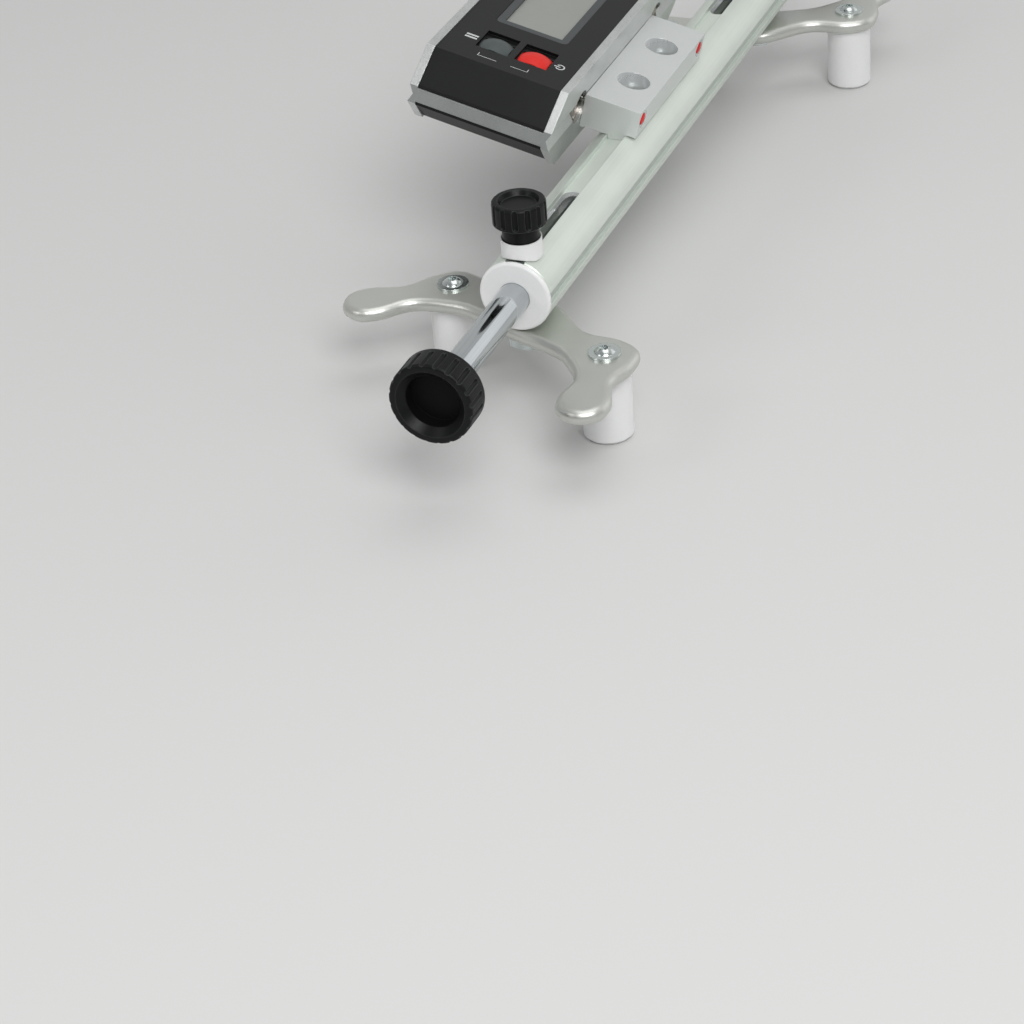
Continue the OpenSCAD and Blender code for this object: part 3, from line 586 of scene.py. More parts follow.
@dataclass(frozen=True)
class SawnFinish(Finish):
    """An extrusion's finish that is greyer and rougher on its sawn and blasted ends, the faces that
    look along it.
    """

    square_to: float = 0.9

    def cut_and_painted_light_faces(self, tree: bpy.types.NodeTree) -> Optional[bpy.types.Node]:
        """Masks the faces that look along the extrusion.

        Args:
            tree: the material's nodes.

        Returns:
            The node whose first output is the mask.
        """
        place = add_node(tree, "ShaderNodeTexCoord")
        split = add_node(tree, "ShaderNodeSeparateXYZ", {"Vector": (place, "Normal")})
        along = add_node(tree, "ShaderNodeMath", {0: (split, "X")}, operation="ABSOLUTE")
        return add_node(
            tree, "ShaderNodeMath", {0: (along, 0)}, {1: self.square_to}, operation="GREATER_THAN")


@dataclass(frozen=True)
class CuppedFinish(Finish):
    """A knob's finish with painted shade inside the cup in its front, where it is also duller."""

    axis_mm: float = 48.45
    cup_mm: float = 10.5
    from_mm: float = 219.0

    def cut_and_painted_light_faces(self, tree: bpy.types.NodeTree) -> Optional[bpy.types.Node]:
        """Masks the cup for painted shade, found by its place on the rod's axis.

        Args:
            tree: the material's nodes.

        Returns:
            The node whose first output is the mask.
        """
        place = add_node(tree, "ShaderNodeTexCoord")
        split = add_node(tree, "ShaderNodeSeparateXYZ", {"Vector": (place, "Object")})
        away = add_node(tree, "ShaderNodeMath", {0: (split, "X")}, operation="ABSOLUTE")
        past = add_node(
            tree, "ShaderNodeMath", {0: (away, 0)}, {1: self.from_mm * MM}, operation="GREATER_THAN")
        high = add_node(
            tree, "ShaderNodeMath", {0: (split, "Z")}, {1: self.axis_mm * MM}, operation="SUBTRACT")
        across = add_node(tree, "ShaderNodeCombineXYZ", {"Y": (split, "Y"), "Z": (high, 0)})
        out = add_node(tree, "ShaderNodeVectorMath", {0: (across, 0)}, operation="LENGTH")
        near = add_node(
            tree, "ShaderNodeMath", {0: (out, "Value")}, {1: self.cup_mm * MM}, operation="LESS_THAN")
        return add_node(tree, "ShaderNodeMath", {0: (past, 0), 1: (near, 0)}, operation="MULTIPLY")


@dataclass(frozen=True)
class BoredFinish(Finish):
    """A block's finish with painted light on the walls of its two bores, smoother and brighter
    towards their mouths.
    """

    bore_x_mm: float = 16.95
    bore_r_mm: float = 6.65
    dull_z_mm: float = 67.0
    bright_z_mm: float = 77.0

    def cut_and_painted_light_faces(self, tree: bpy.types.NodeTree) -> Optional[bpy.types.Node]:
        """Masks the walls of the bores for painted light, found by their place over the bar.

        Args:
            tree: the material's nodes.

        Returns:
            The node whose first output is the mask.
        """
        place = add_node(tree, "ShaderNodeTexCoord")
        split = add_node(tree, "ShaderNodeSeparateXYZ", {"Vector": (place, "Object")})
        away = add_node(tree, "ShaderNodeMath", {0: (split, "X")}, operation="ABSOLUTE")
        along = add_node(
            tree, "ShaderNodeMath", {0: (away, 0)}, {1: self.bore_x_mm * MM}, operation="SUBTRACT")
        across = add_node(tree, "ShaderNodeCombineXYZ", {"X": (along, 0), "Y": (split, "Y")})
        out = add_node(tree, "ShaderNodeVectorMath", {0: (across, 0)}, operation="LENGTH")
        inside = add_node(
            tree, "ShaderNodeMath", {0: (out, "Value")}, {1: self.bore_r_mm * MM},
            operation="LESS_THAN")
        height = add_node(
            tree, "ShaderNodeMapRange", {"Value": (split, "Z")},
            {"From Min": self.dull_z_mm * MM, "From Max": self.bright_z_mm * MM})
        return add_node(
            tree, "ShaderNodeMath", {0: (inside, 0), 1: (height, "Result")}, operation="MULTIPLY")


LEVEL_TILT = 14.7
LEVEL_SEAT_Y = 12.8
LEVEL_SEAT_Z = 74.75


def level_seat() -> Matrix:
    """Returns where the level's own frame sits on the part."""
    lift = Matrix.Translation((0.0, LEVEL_SEAT_Y * MM, LEVEL_SEAT_Z * MM))
    return lift @ Matrix.Rotation(math.radians(LEVEL_TILT), 4, "X")


# Extruded aluminium, etched and clear anodised: silky pale grey with a green cast and faint die
# lines, bright where the slots were milled afterwards, with painted highlights on its edges and
# painted shade on the floors of the side grooves.
ANODISED_BAR = SlottedFinish(
    "Anodised aluminium profile", "anodised_bar", "#DCE3DB", "#D5DCD4", 0.42, 0.4,
    grain_mm=0.5, streak=90.0, run=Run.ALONG_BAR, bump_mm=0.003, edge_mm=0.35, wear_and_highlight="#F2F6F3",
    cut_and_painted_light="#F6F8F7", painted_groove_shade="#C3C9C5")
# Cast aluminium, bead-blasted and anodised: even satin silver with a fine matte grain that is
# drawn at 0.4 mm to show, and lighter edges, partly wear and partly a painted highlight.
SATIN_CLAW = Finish(
    "Blasted aluminium casting", "satin_claw", "#D4D5D0", "#CBCCC7", 0.38, 0.85,
    grain_mm=0.4, swing=0.03, bump_mm=0.003, edge_mm=0.2, wear_and_highlight="#E6E8E6")
# Hard chrome on ground steel: a mirror with hardly any haze along the rod.
CHROME_ROD = Finish(
    "Hard chromed steel", "chrome_rod", "#C6CACD", "#BDC2C5", 0.09, 1.0,
    grain_mm=0.6, streak=60.0, run=Run.ALONG_BAR, swing=0.02, smudge=0.02, bump_mm=0.0002,
    edge_mm=0.3)
# Zinc-plated steel: bright, slightly blue, with soft highlights and lighter edges, partly wear and
# partly a painted highlight.
ZINC_STEEL = Finish(
    "Zinc-plated steel", "zinc_steel", "#D8DEDD", "#C6CECD", 0.2, 1.0,
    grain_mm=0.5, swing=0.04, bump_mm=0.001, edge_mm=0.3, wear_and_highlight="#F0F3F3")
# Nickel plate on sintered magnets: warm and bright with a slight haze.
NICKEL_PLATE = Finish(
    "Nickel-plated magnet", "nickel_plate", "#A79B8E", "#95897C", 0.24, 1.0,
    grain_mm=0.6, swing=0.03, bump_mm=0.001, edge_mm=0.3)
# Turned acetal: white, a little translucent, with a waxy sheen.
WHITE_ACETAL = Finish(
    "White acetal", "white_acetal", "#F2F2F2", "#EFEFEF", 0.34, 0.0,
    grain_mm=0.7, swing=0.03, bump_mm=0.0005, edge_mm=0.4, glow_mm=1.2)
# Compression-moulded phenolic: deep black with a half gloss and a faint mould grain, painted
# highlights on the rib edges, and painted shade inside the cup, which is also duller.
KNOB_PLASTIC = CuppedFinish(
    "Black phenolic", "knob_plastic", "#0D0E0E", "#090A0A", 0.38, 0.0, 0.2,
    grain_mm=0.5, swing=0.06, bump_mm=0.01, edge_mm=0.5, wear_and_highlight="#545757", cut_and_painted_light="#040404",
    cut_roughness=0.7)
# Milled aluminium, satin anodised: pale silver with faint cutter lines along it, painted highlights
# on its corners and painted light in its reamed bores.
MILLED_BLOCK = BoredFinish(
    "Milled anodised aluminium", "milled_block", "#DCDFDE", "#D8DBDA", 0.38, 0.5,
    grain_mm=0.4, streak=12.0, run=Run.ALONG_BAR, bump_mm=0.002, edge_mm=0.35, wear_and_highlight="#F7F9F9",
    cut_and_painted_light="#F6F7F8", cut_roughness=0.24, tilt_deg=LEVEL_TILT)
# Blasted aluminium extrusion: sparkling grain, painted highlights on its corners, and greyer, rougher
# sawn ends.
SATIN_EXTRUSION = SawnFinish(
    "Satin aluminium extrusion", "satin_extrusion", "#D6D8D7", "#C3C5C4", 0.36, 0.8,
    grain_mm=0.5, streak=1.6, run=Run.ALONG_BAR, swing=0.08, bump_mm=0.007, edge_mm=0.35,
    wear_and_highlight="#F4F5F5", cut_and_painted_light="#CBCDCD", cut_roughness=0.42, cut_blend=Blend.MULTIPLY,
    tilt_deg=LEVEL_TILT)
# Moulded ABS with a fine spark-eroded grain: near black, with a half gloss in front and duller on
# the back, and lighter edges, partly wear and partly a painted highlight.
CHARCOAL_PLASTIC = Finish(
    "Charcoal ABS", "charcoal_plastic", "#0D0E0E", "#0A0B0B", 0.36, 0.0, 0.32,
    grain_mm=0.45, bump_mm=0.008, edge_mm=0.3, wear_and_highlight="#2B2C2C")
BLACK_PLASTIC = Finish(
    "Black ABS", "black_plastic", "#101112", "#0C0D0E", 0.5, 0.0, 0.25,
    grain_mm=0.45, bump_mm=0.012, edge_mm=0.3, wear_and_highlight="#242526")
# Smooth moulded display frame, with lighter edges, partly wear and partly a painted highlight.
BEZEL_PLASTIC = Finish(
    "Grey bezel ABS", "bezel_plastic", "#46494B", "#3F4244", 0.36, 0.0, 0.4,
    grain_mm=0.8, swing=0.04, bump_mm=0.003, edge_mm=0.3, wear_and_highlight="#5C5F61")
# Reflective liquid-crystal display that is switched off, under a clear polariser.
DISPLAY_GLASS = Finish(
    "Liquid-crystal display", "display_glass", "#91938E", "#8E908B", 0.4, 0.0,
    grain_mm=3.0, swing=0.03, bump_mm=0.0, edge_mm=0.2, coat=0.4)
# Moulded button caps: grey and red, smooth with a soft sheen, and lighter edges, partly wear and
# partly a painted highlight.
GREY_BUTTON = Finish(
    "Grey button ABS", "grey_button", "#4F5555", "#4A5050", 0.45, 0.0, 0.3,
    grain_mm=0.5, bump_mm=0.004, edge_mm=0.5, wear_and_highlight="#69737A")
RED_BUTTON = Finish(
    "Red button ABS", "red_button", "#DC2C25", "#D3261F", 0.45, 0.0, 0.3,
    grain_mm=0.5, bump_mm=0.004, edge_mm=0.5, wear_and_highlight="#EE4A40")
# Thick red lacquer that seals the screw sockets.
RED_LACQUER = Finish(
    "Red sealing lacquer", "red_lacquer", "#E01010", "#CF0C0C", 0.32, 0.0, 0.25,
    grain_mm=0.8, bump_mm=0.01, edge_mm=0.3)
# White screen print, thin enough that the housing's grain shows through it.
PRINTED_INK = Finish(
    "White screen print", "printed_ink", "#D6D8D7", "#BCBEBD", 0.55, 0.0,
    grain_mm=0.45, bump_mm=0.004, edge_mm=0.02)
# Solder mask on glass-fibre laminate.
BOARD_LAMINATE = Finish(
    "Green solder mask", "board_laminate", "#2F6B3C", "#275A32", 0.4, 0.0, grain_mm=0.6)
# Moulded chip and sounder bodies.
CHIP_PLASTIC = Finish(
    "Black epoxy moulding", "chip_plastic", "#2B2D2F", "#232527", 0.5, 0.0, grain_mm=0.4)
# Foil-wrapped cells.
CELL_WRAP = Finish(
    "Foil cell wrap", "cell_wrap", "#4A5560", "#414B55", 0.3, 0.3, grain_mm=1.0)


@dataclass
class Wardrobe:
    """Makes each finish once and hands it out by solid or piece."""

    frame: Dict[str, Any]

    def __post_init__(self) -> None:
        """Starts with no material made."""
        self.made: Dict[str, bpy.types.Material] = {}

    def solid(self, name: str) -> bpy.types.Object:
        """Returns a solid of the frame by its name."""
        return self.frame["nodes"][name]

    def material(self, finish: Finish) -> bpy.types.Material:
        """Looks up a finish's material and makes it the first time.

        Args:
            finish: the finish.

        Returns:
            The one material of that finish.
        """
        if finish.name not in self.made:
            self.made[finish.name] = finish.make()
        return self.made[finish.name]

    def dress_nodes(self, finish: Finish, *names: str) -> None:
        """Gives solids their finish.

        Args:
            finish: the finish.
            names: the solids' names.
        """
        for name in names:
            solid = self.solid(name)
            solid.data.materials.clear()
            solid.data.materials.append(self.material(finish))
            LOG.info("solid %s: %s", name, finish.name)

    def dress_piece(
        self, piece: bpy.types.Object, finish: Finish, body: Body, *hidden: str
    ) -> None:
        """Gives a new piece its finish, its body and the solids it stands for.

        Args:
            piece: the mesh object, in place.
            finish: the finish.
            body: the body it rides on.
            hidden: the solids that it replaces.
        """
        piece.data.materials.clear()
        piece.data.materials.append(self.material(finish))
        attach(piece, body.value)
        if hidden:
            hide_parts(*hidden)
        LOG.info("piece %s rides on %s: %s", piece.name, body.value, finish.name)


@dataclass(frozen=True)
class SoftBox:
    """A square lamp: its name, its power, its side and where its middle hangs."""

    name: str
    watts: float
    side_m: float
    place_m: Tuple[float, float, float]


SOFT_BOXES = (
    SoftBox("soft_box_top", 6.0, 1.2, (0.1, -0.2, 1.8)),
    SoftBox("soft_box_left", 4.0, 0.7, (-1.3, 1.0, 1.1)),
    SoftBox("soft_box_right", 19.0, 0.9, (-1.2, -0.8, 1.4)),
    SoftBox("soft_box_back", 2.6, 1.4, (1.15, -1.2, 0.6)),
)


@dataclass
class Studio:
    """Camera, floor and soft light.

    The camera's axes are fitted to the photograph. ``room_ends`` says where the room's dim and pale
    tones start, from 0 behind the camera to 1 behind the object.
    """

    eye_mm: Tuple[float, float, float] = (-1051.44, -395.23, 584.07)
    right: Tuple[float, float, float] = (0.36797, -0.92738, -0.06759)
    down: Tuple[float, float, float] = (-0.52337, -0.14649, -0.83942)
    ahead: Tuple[float, float, float] = (0.76856, 0.34425, -0.53926)
    lens_mm: float = 106.142
    sensor_mm: float = 36.0
    clip_m: Tuple[float, float] = (0.01, 50.0)
    floor_m: float = 8.0
    floor_drop_m: float = 0.0002
    paper: str = "#D6D6D5"
    paper_roughness: float = 0.9
    paper_specular: float = 0.1
    aim_m: Tuple[float, float, float] = (-0.05, 0.0, 0.05)
    room_dim: str = "#7A7B7C"
    room_pale: str = "#C6C7C6"
    room_ends: Tuple[float, float] = (0.1, 0.9)

    def camera(self) -> None:
        """Sets the camera where the photograph was taken from."""
        data = bpy.data.cameras.new("photo_camera")
        data.lens = self.lens_mm
        data.sensor_width = self.sensor_mm
        data.clip_start, data.clip_end = self.clip_m
        seat = bpy.data.objects.new("photo_camera", data)
        bpy.context.scene.collection.objects.link(seat)
        across, up, back = Vector(self.right), -Vector(self.down), -Vector(self.ahead)
        turn = Matrix((across, up, back)).transposed().to_4x4()
        seat.matrix_world = Matrix.Translation(Vector(self.eye_mm) * MM) @ turn
        bpy.context.scene.camera = seat

    def floor(self) -> None:
        """Lays the pale floor that the pegs stand on."""
        bpy.ops.object.select_all(action="DESELECT")
        bpy.ops.mesh.primitive_plane_add(
            size=self.floor_m, location=(0.0, 0.0, -self.floor_drop_m))
        plane = bpy.context.object
        plane.name = "studio_floor"
        material = bpy.data.materials.new("Pale studio paper")
        material.use_nodes = True
        shader = material.node_tree.nodes["Principled BSDF"]
        shader.inputs["Base Color"].default_value = linear(self.paper)
        shader.inputs["Roughness"].default_value = self.paper_roughness
        shader.inputs["Specular IOR Level"].default_value = self.paper_specular
        plane.data.materials.append(material)

    def lamp(self, box: SoftBox) -> None:
        """Hangs a soft box that faces the object's middle.

        Args:
            box: the lamp's name, power, side and place.
        """
        data = bpy.data.lights.new(box.name, "AREA")
        data.energy = box.watts
        data.size = box.side_m
        lamp = bpy.data.objects.new(box.name, data)
        bpy.context.scene.collection.objects.link(lamp)
        lamp.location = box.place_m
        aim = Vector(self.aim_m) - Vector(box.place_m)
        lamp.rotation_euler = aim.to_track_quat("-Z", "Y").to_euler()

    def room(self) -> None:
        """Sets a room that is pale behind the object and dim behind the camera."""
        world = bpy.data.worlds.new("pale_room")
        bpy.context.scene.world = world
        world.use_nodes = True
        tree = world.node_tree
        ground = tree.nodes["Background"]
        look = add_node(tree, "ShaderNodeTexCoord")
        split = add_node(tree, "ShaderNodeSeparateXYZ", {"Vector": (look, "Generated")})
        depth = add_node(
            tree, "ShaderNodeMapRange", {"Value": (split, "X")}, {"From Min": -1.0, "From Max": 1.0})
        walls = add_node(tree, "ShaderNodeValToRGB", {"Fac": (depth, "Result")})
        walls.color_ramp.elements[0].position = self.room_ends[0]
        walls.color_ramp.elements[0].color = linear(self.room_dim)
        walls.color_ramp.elements[1].position = self.room_ends[1]
        walls.color_ramp.elements[1].color = linear(self.room_pale)
        tree.links.new(walls.outputs["Color"], ground.inputs["Color"])
        ground.inputs["Strength"].default_value = 1.0

    def build(self) -> None:
        """Builds the whole studio."""
        bpy.context.scene.view_settings.view_transform = "Standard"
        self.camera()
        self.floor()
        for box in SOFT_BOXES:
            self.lamp(box)
        self.room()


@dataclass
class BarAssembly:
    """The profile bar, its end rings and the block on its middle.

    Sizes are millimetres in the level's own frame. A point within ``reach`` of a place counts as
    being there.
    """

    wardrobe: Wardrobe
    screw_x: float = 34.6
    screw_z: float = -1.0
    seal_r: float = 2.5
    dish_d: float = 0.7
    reach: float = 0.2
    crease_deg: float = 30.0

    def build(self) -> None:
        """Dishes the screw heads round their seals, so that each seal stands in a bright cone."""
        node = "level_screws"
        screws = merged_copy(self.wardrobe.solid(node), "dished_screws")
        to_level = level_seat().inverted()
        face_y = min((to_level @ v.co).y for v in screws.data.vertices)

        def at_mouth(vert: bmesh.types.BMVert) -> bool:
            """Says whether a point lies on the mouth of a seal's pocket."""
            spot = (to_level @ vert.co) / MM
            out = math.hypot(abs(spot.x) - self.screw_x, spot.z - self.screw_z)
            return spot.y < face_y / MM + self.reach and abs(out - self.seal_r) < self.reach

        inward = level_seat().to_3x3() @ Vector((0.0, self.dish_d * MM, 0.0))
        with editing(screws, Pick.VERT) as mesh:
            choose(mesh, mesh.verts, at_mouth)
            bpy.ops.transform.translate(value=inward)
        bpy.ops.object.shade_smooth_by_angle(angle=math.radians(self.crease_deg))
        self.wardrobe.dress_piece(screws, ZINC_STEEL, Body.BAR, node)

    def dress(self) -> None:
        """Dresses the solids of the bar and block."""
        self.wardrobe.dress_nodes(ANODISED_BAR, "profile_bar")
        self.wardrobe.dress_nodes(WHITE_ACETAL, "near_end_ring", "far_end_ring")
        self.wardrobe.dress_nodes(MILLED_BLOCK, "mounting_block")
        self.wardrobe.dress_nodes(ZINC_STEEL, "block_screws", "nut_strip", "level_screws")
        self.wardrobe.dress_nodes(RED_LACQUER, "screw_seals")
        self.wardrobe.dress_nodes(NICKEL_PLATE, "base_magnets")


@dataclass
class DigitalLevel:
    """The level: extruded frame, housings, display, buttons and what is inside.

    Sizes are millimetres in the level's own frame: x along it from its middle, y up its face from
    the mounting edge, z out of its face. ``ring_open`` is the sine of the angle above which the
    power sign's ring is left open.
    """

    wardrobe: Wardrobe
    face_z: float = 15.6
    ink_t: float = 0.04
    ink_sink: float = 0.01
    ink_w: float = 0.26
    bracket_x: float = -59.0
    bracket_ends: Tuple[Place, ...] = ((40.8, -7.8), (19.8, 6.9))
    bracket_tick: float = 2.0
    mark_x: float = -47.0
    hold_mark_y: float = 48.2
    power_mark_y: float = 10.4
    mark_r: float = 2.0
    mark_w: float = 0.55
    hold_left: float = 0.9
    hold_apart: float = 2.0
    ring_steps: int = 40
    ring_open: float = 0.8
    bar_lift: float = 0.2

    def ink_square(self, width: float, place: Place) -> bpy.types.Object:
        """Starts a mark from one square of ink.

        Args:
            width: the square's side.
            place: its middle on the level's face.

        Returns:
            The square, in the level's own frame.
        """
        middle = Vector((place[0], place[1], self.face_z - self.ink_sink)) * MM
        bpy.ops.object.select_all(action="DESELECT")
        bpy.ops.mesh.primitive_plane_add(size=width * MM, location=middle)
        return settle(bpy.context.object, "ink")

    def pull(self, mark: bpy.types.Object, place: Place, width: float, reach: Place) -> None:
        """Pulls one side of an ink square out into a line.

        Args:
            mark: the mark.
            place: the square's middle.
            width: the square's side.
            reach: how far the side goes along x and y.
        """
        middle = Vector((place[0], place[1], self.face_z - self.ink_sink)) * MM
        way = Vector((reach[0], reach[1], 0.0))
        side = middle + way.normalized() * width * 0.5 * MM

        def at_side(edge: bmesh.types.BMEdge) -> bool:
            """Says whether an edge is the side to pull."""
            return ((edge.verts[0].co + edge.verts[1].co) / 2 - side).length < MERGE_M

        with editing(mark, Pick.EDGE) as mesh:
            choose(mesh, mesh.edges, at_side)
            bpy.ops.mesh.extrude_region_move(TRANSFORM_OT_translate={"value": way * MM})

    def ink_done(self, mark: bpy.types.Object, name: str) -> None:
        """Gives a mark its thickness, its place on the level and its finish.

        Args:
            mark: the flat mark.
            name: the piece's name.
        """
        modify(mark, "SOLIDIFY", thickness=self.ink_t * MM, offset=1.0)
        settle(mark, name, level_seat())
        self.wardrobe.dress_piece(mark, PRINTED_INK, Body.BAR)

    def brackets(self) -> None:
        """Prints the two corners of the bracket that joins the buttons."""
        for number, (start_y, arm) in enumerate(self.bracket_ends, start=1):
            start = (self.bracket_x, start_y)
            mark = self.ink_square(self.ink_w, start)
            self.pull(mark, start, self.ink_w, (0.0, arm))
            self.pull(mark, start, self.ink_w, (self.bracket_tick, 0.0))
            self.ink_done(mark, f"button_bracket_{number}")

    def hold_mark(self) -> None:
        """Prints two bars, the common sign for a reading that is held."""
        start = (self.mark_x - self.hold_left, self.hold_mark_y - self.mark_r)
        mark = self.ink_square(2.0 * self.mark_w, start)
        self.pull(mark, start, 2.0 * self.mark_w, (0.0, 2.0 * self.mark_r))
        apart = (self.hold_apart * MM, 0.0, 0.0)
        with editing(mark, Pick.FACE):
            bpy.ops.mesh.select_all(action="SELECT")
            bpy.ops.mesh.duplicate_move(TRANSFORM_OT_translate={"value": apart})
        self.ink_done(mark, "hold_sign")

    def power_mark(self) -> None:
        """Prints a broken ring with a bar, the common sign for a power switch."""
        middle = Vector((self.mark_x, self.power_mark_y, self.face_z - self.ink_sink)) * MM

        def at_gap(face: bmesh.types.BMFace) -> bool:
            """Says whether a face of the ring lies in the gap at its top."""
            return (face.calc_center_median() - middle).normalized().y > self.ring_open

        bpy.ops.object.select_all(action="DESELECT")
        bpy.ops.mesh.primitive_circle_add(
            vertices=self.ring_steps, radius=self.mark_r * MM, fill_type="NOTHING", location=middle)
        mark = settle(bpy.context.object, "ink")
        inner = 1.0 - self.mark_w / self.mark_r
        with editing(mark, Pick.EDGE):
            bpy.ops.mesh.select_all(action="SELECT")
            bpy.ops.mesh.extrude_region_move(TRANSFORM_OT_translate={"value": (0.0, 0.0, 0.0)})
            bpy.ops.transform.resize(value=(inner, inner, 1.0), center_override=middle)
        with editing(mark, Pick.FACE) as mesh:
            choose(mesh, mesh.faces, at_gap)
            bpy.ops.mesh.delete(type="FACE")
        with editing(mark, Pick.FACE) as mesh:
            bpy.ops.mesh.select_all(action="SELECT")
            bpy.ops.mesh.normals_make_consistent(inside=False)
            if next(iter(mesh.faces)).normal.z < 0.0:
                bpy.ops.mesh.flip_normals()
        bar = (self.mark_x, self.power_mark_y + self.bar_lift)
        line = self.ink_square(self.mark_w, bar)
        self.pull(line, bar, self.mark_w, (0.0, self.mark_r))
        activate(mark)
        line.select_set(True)
        bpy.ops.object.join()
        self.ink_done(mark, "power_sign")

    def build(self) -> None:
        """Makes the printed marks."""
        self.brackets()
        self.hold_mark()
        self.power_mark()

    def dress(self) -> None:
        """Dresses the solids of the level."""
        self.wardrobe.dress_nodes(SATIN_EXTRUSION, "level_frame")
        self.wardrobe.dress_nodes(CHARCOAL_PLASTIC, "front_housing")
        self.wardrobe.dress_nodes(BEZEL_PLASTIC, "display_frame")
        self.wardrobe.dress_nodes(DISPLAY_GLASS, "display_panel")
        self.wardrobe.dress_nodes(BLACK_PLASTIC, "back_cover", "battery_door")
        self.wardrobe.dress_nodes(GREY_BUTTON, "hold_button")
        self.wardrobe.dress_nodes(RED_BUTTON, "power_button")
        self.wardrobe.dress_nodes(BOARD_LAMINATE, "circuit_board")
        self.wardrobe.dress_nodes(CHIP_PLASTIC, "tilt_sensor", "buzzer")
        self.wardrobe.dress_nodes(ZINC_STEEL, "board_screws", "cover_screws", "key_switches")
        self.wardrobe.dress_nodes(CELL_WRAP, "batteries")


@dataclass
class FlutedKnob:
    """A moulded knob with grooves that open at its face and end round before its back.

    Sizes are millimetres in the knob's own frame, with z from its back to its face. ``tool`` fields
    are those of the round-ended cutter.
    """

    wardrobe: Wardrobe
    node: str
    body: Body
    seat: Matrix
    face_z: float
    head_r: float
    flutes: int
    first_deg: float
    flute_r: float
    flute_d: float
    flute_from: float
    steps: int
    round_r: float = 1.2
    edge: float = 0.5
    tool_steps: int = 24
    tool_from_deg: float = -75.0
    crease_deg: float = 35.0

    def outline(self) -> List[Place]:
        """Returns the knob's outline from pole to pole."""
        raise NotImplementedError

    def rim(self) -> List[Place]:
        """Returns the round edge between the knob's side and its face."""
        middle = (self.head_r - self.round_r, self.face_z - self.round_r)
        return corner(middle, self.round_r, 0.0, 90.0)

    def cutter(self) -> bpy.types.Object:
        """Makes what is cut away for the grooves.

        Returns:
            The grooves as bodies with a round end, spaced round the knob.
        """
        past = self.face_z + self.flute_r
        end = [(0.0, self.flute_from - self.flute_r)]
        end += corner((0.0, self.flute_from), self.flute_r, self.tool_from_deg, 0.0)
        tool = turned([*end, (self.flute_r, past), (0.0, past)], self.tool_steps)
        out = (self.head_r + self.flute_r - self.flute_d) * MM
        turn = math.radians(self.first_deg)
        with editing(tool, Pick.FACE):
            bpy.ops.mesh.select_all(action="SELECT")
            bpy.ops.transform.translate(value=(out * math.cos(turn), out * math.sin(turn), 0.0))
            bpy.ops.mesh.spin(
                steps=self.flutes - 1, dupli=True, angle=math.tau * (self.flutes - 1) / self.flutes,
                center=(0.0, 0.0, 0.0), axis=(0.0, 0.0, 1.0))
        return tool

    def build(self) -> None:
        """Turns the knob, cuts its grooves and puts it where the solid is."""
        knob = turned(self.outline(), self.steps)
        tool = self.cutter()
        modify(knob, "BOOLEAN", object=tool, operation="DIFFERENCE", solver="EXACT")
        bpy.data.objects.remove(tool)
        activate(knob)
        bpy.ops.object.shade_smooth_by_angle(angle=math.radians(self.crease_deg))
        settle(knob, f"{self.node}_moulding", self.seat)
        self.wardrobe.dress_piece(knob, KNOB_PLASTIC, self.body, self.node)


@dataclass
class EndKnob(FlutedKnob):
    """The cup-shaped knob on the rod's end."""

    face_z: float = 12.4
    head_r: float = 16.0
    flutes: int = 20
    first_deg: float = 25.0
    flute_r: float = 1.1
    flute_d: float = 0.7
    flute_from: float = 3.2
    steps: int = 160
    rod_r: float = 6.05
    rod_seat: float = 3.45
    cup_r: float = 10.4
    cup_floor: float = 4.4
    cup_chamfer: float = 2.8

    def outline(self) -> List[Place]:
        """Draws the knob from the rod's seat over the rim to the cup's floor.

        Returns:
            Radius and height of the outline's points.
        """
        back = [(0.0, self.rod_seat), (self.rod_r, self.rod_seat), (self.rod_r, 0.0)]
        side = [(self.head_r - self.edge, 0.0), (self.head_r, self.edge)]
        mouth = [
            (self.cup_r + self.cup_chamfer, self.face_z),
            (self.cup_r, self.face_z - self.cup_chamfer),
        ]
        floor = [(self.cup_r, self.cup_floor), (0.0, self.cup_floor)]
        return [*back, *side, *self.rim(), *mouth, *floor]


@dataclass
class LockKnob(FlutedKnob):
    """The knob with a dished top that clamps the slide."""

    head_r: float = 10.2
    flutes: int = 13
    first_deg: float = 192.5
    flute_r: float = 1.2
    flute_d: float = 0.8
    flute_from: float = 9.6
    steps: int = 156
    stud_r: float = 3.05
    hole_top: float = 11.0
    neck_r: float = 7.0
    neck_h: float = 7.6
    lip: float = 0.6
    dish_r: float = 7.2
    dish_d: float = 1.8

    def outline(self) -> List[Place]:
        """Draws the knob from the stud's hole over the neck and head to the dish.

        Returns:
            Radius and height of the outline's points.
        """
        hole = [(0.0, self.hole_top), (self.stud_r, self.hole_top), (self.stud_r, 0.0)]
        neck = [(self.neck_r, 0.0), (self.neck_r, self.neck_h - 2.0 * self.lip)]
        lip_r = self.neck_r + self.lip
        lip = [(lip_r, self.neck_h - self.lip), (lip_r, self.neck_h)]
        side = [(self.head_r - self.edge, self.neck_h), (self.head_r, self.neck_h + self.edge)]
        floor_z = self.face_z - self.dish_d
        dish = [(self.dish_r + self.lip, self.face_z), (self.dish_r - self.lip, floor_z)]
        return [*hole, *neck, *lip, *side, *self.rim(), *dish, (0.0, floor_z)]


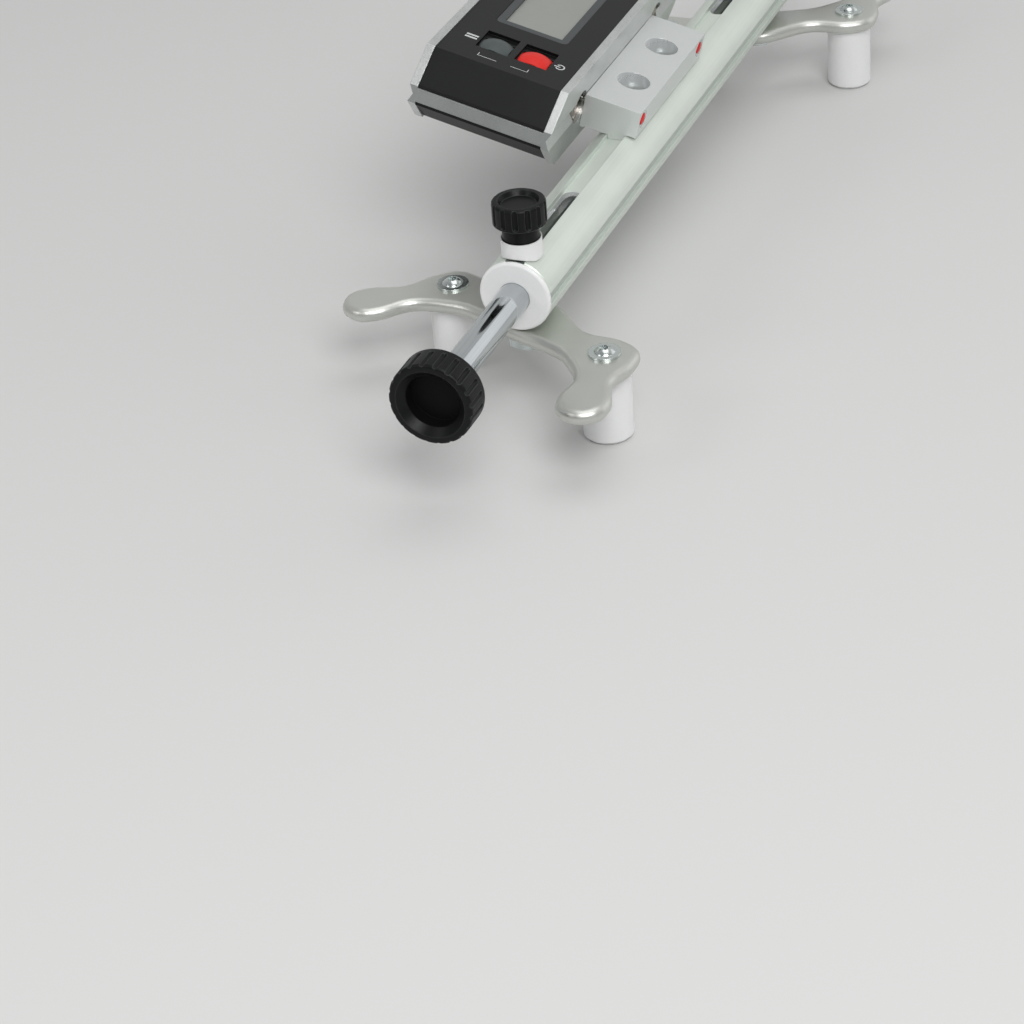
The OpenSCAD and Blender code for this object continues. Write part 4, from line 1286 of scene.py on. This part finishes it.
@dataclass
class SlideEnd:
    """One end: rod, knobs, stud and the claw with its pegs."""

    wardrobe: Wardrobe
    side: Side
    slide: Body
    lock: Body
    grip: Body
    crease_deg: float = 50.0

    def own(self, name: str) -> str:
        """Returns the full name of one of this end's solids."""
        return f"{self.side.value}_{name}"

    def end_knob(self) -> EndKnob:
        """Seats the end knob on the rod, where its solid is.

        Returns:
            The knob, not yet built.
        """
        node = self.own("end_knob")
        low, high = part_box(node)
        outward = 1.0 if low.x > 0.0 else -1.0
        back = low.x if outward > 0.0 else high.x
        place = Matrix.Translation((back, (low.y + high.y) / 2.0, (low.z + high.z) / 2.0))
        turn = Matrix.Rotation(math.radians(90.0 * outward), 4, "Y")
        return EndKnob(self.wardrobe, node, self.slide, place @ turn)

    def lock_knob(self) -> LockKnob:
        """Seats the lock knob on its stud, where its solid is.

        Returns:
            The knob, not yet built.
        """
        node = self.own("lock_knob")
        low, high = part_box(node)
        place = Matrix.Translation(((low.x + high.x) / 2.0, (low.y + high.y) / 2.0, low.z))
        return LockKnob(self.wardrobe, node, self.lock, place, face_z=(high.z - low.z) / MM)

    def build(self) -> None:
        """Makes the claw's casting, whose flat faces run into its round edges, and both knobs."""
        node = self.own("claw")
        claw = merged_copy(self.wardrobe.solid(node), f"{node}_casting")
        bpy.ops.object.shade_smooth_by_angle(angle=math.radians(self.crease_deg))
        modify(claw, "WEIGHTED_NORMAL", mode="FACE_AREA", keep_sharp=True)
        self.wardrobe.dress_piece(claw, SATIN_CLAW, self.grip, node)
        self.end_knob().build()
        self.lock_knob().build()

    def dress(self) -> None:
        """Dresses the solids of this end."""
        acetal = [self.own(name) for name in ("guide_bush", "collar", "pegs")]
        self.wardrobe.dress_nodes(WHITE_ACETAL, *acetal)
        self.wardrobe.dress_nodes(CHROME_ROD, self.own("rod"))
        self.wardrobe.dress_nodes(KNOB_PLASTIC, self.own("end_knob"), self.own("lock_knob"))
        self.wardrobe.dress_nodes(SATIN_CLAW, self.own("claw"))
        self.wardrobe.dress_nodes(ZINC_STEEL, self.own("stud"), self.own("peg_screws"))


def main() -> None:
    """Loads the frame, builds and dresses each sub-assembly and sets the studio."""
    logging.basicConfig(level=logging.INFO, format="%(name)s: %(message)s")
    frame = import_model()
    bpy.ops.object.select_all(action="DESELECT")
    wardrobe = Wardrobe(frame)
    bar = BarAssembly(wardrobe)
    bar.dress()
    bar.build()
    level = DigitalLevel(wardrobe)
    level.dress()
    level.build()
    near = SlideEnd(wardrobe, Side.NEAR, Body.NEAR_SLIDE, Body.NEAR_LOCK, Body.NEAR_GRIP)
    far = SlideEnd(wardrobe, Side.FAR, Body.FAR_SLIDE, Body.FAR_LOCK, Body.FAR_GRIP)
    for end in (near, far):
        end.dress()
        end.build()
    Studio().build()


if __name__ == "__main__":
    main()
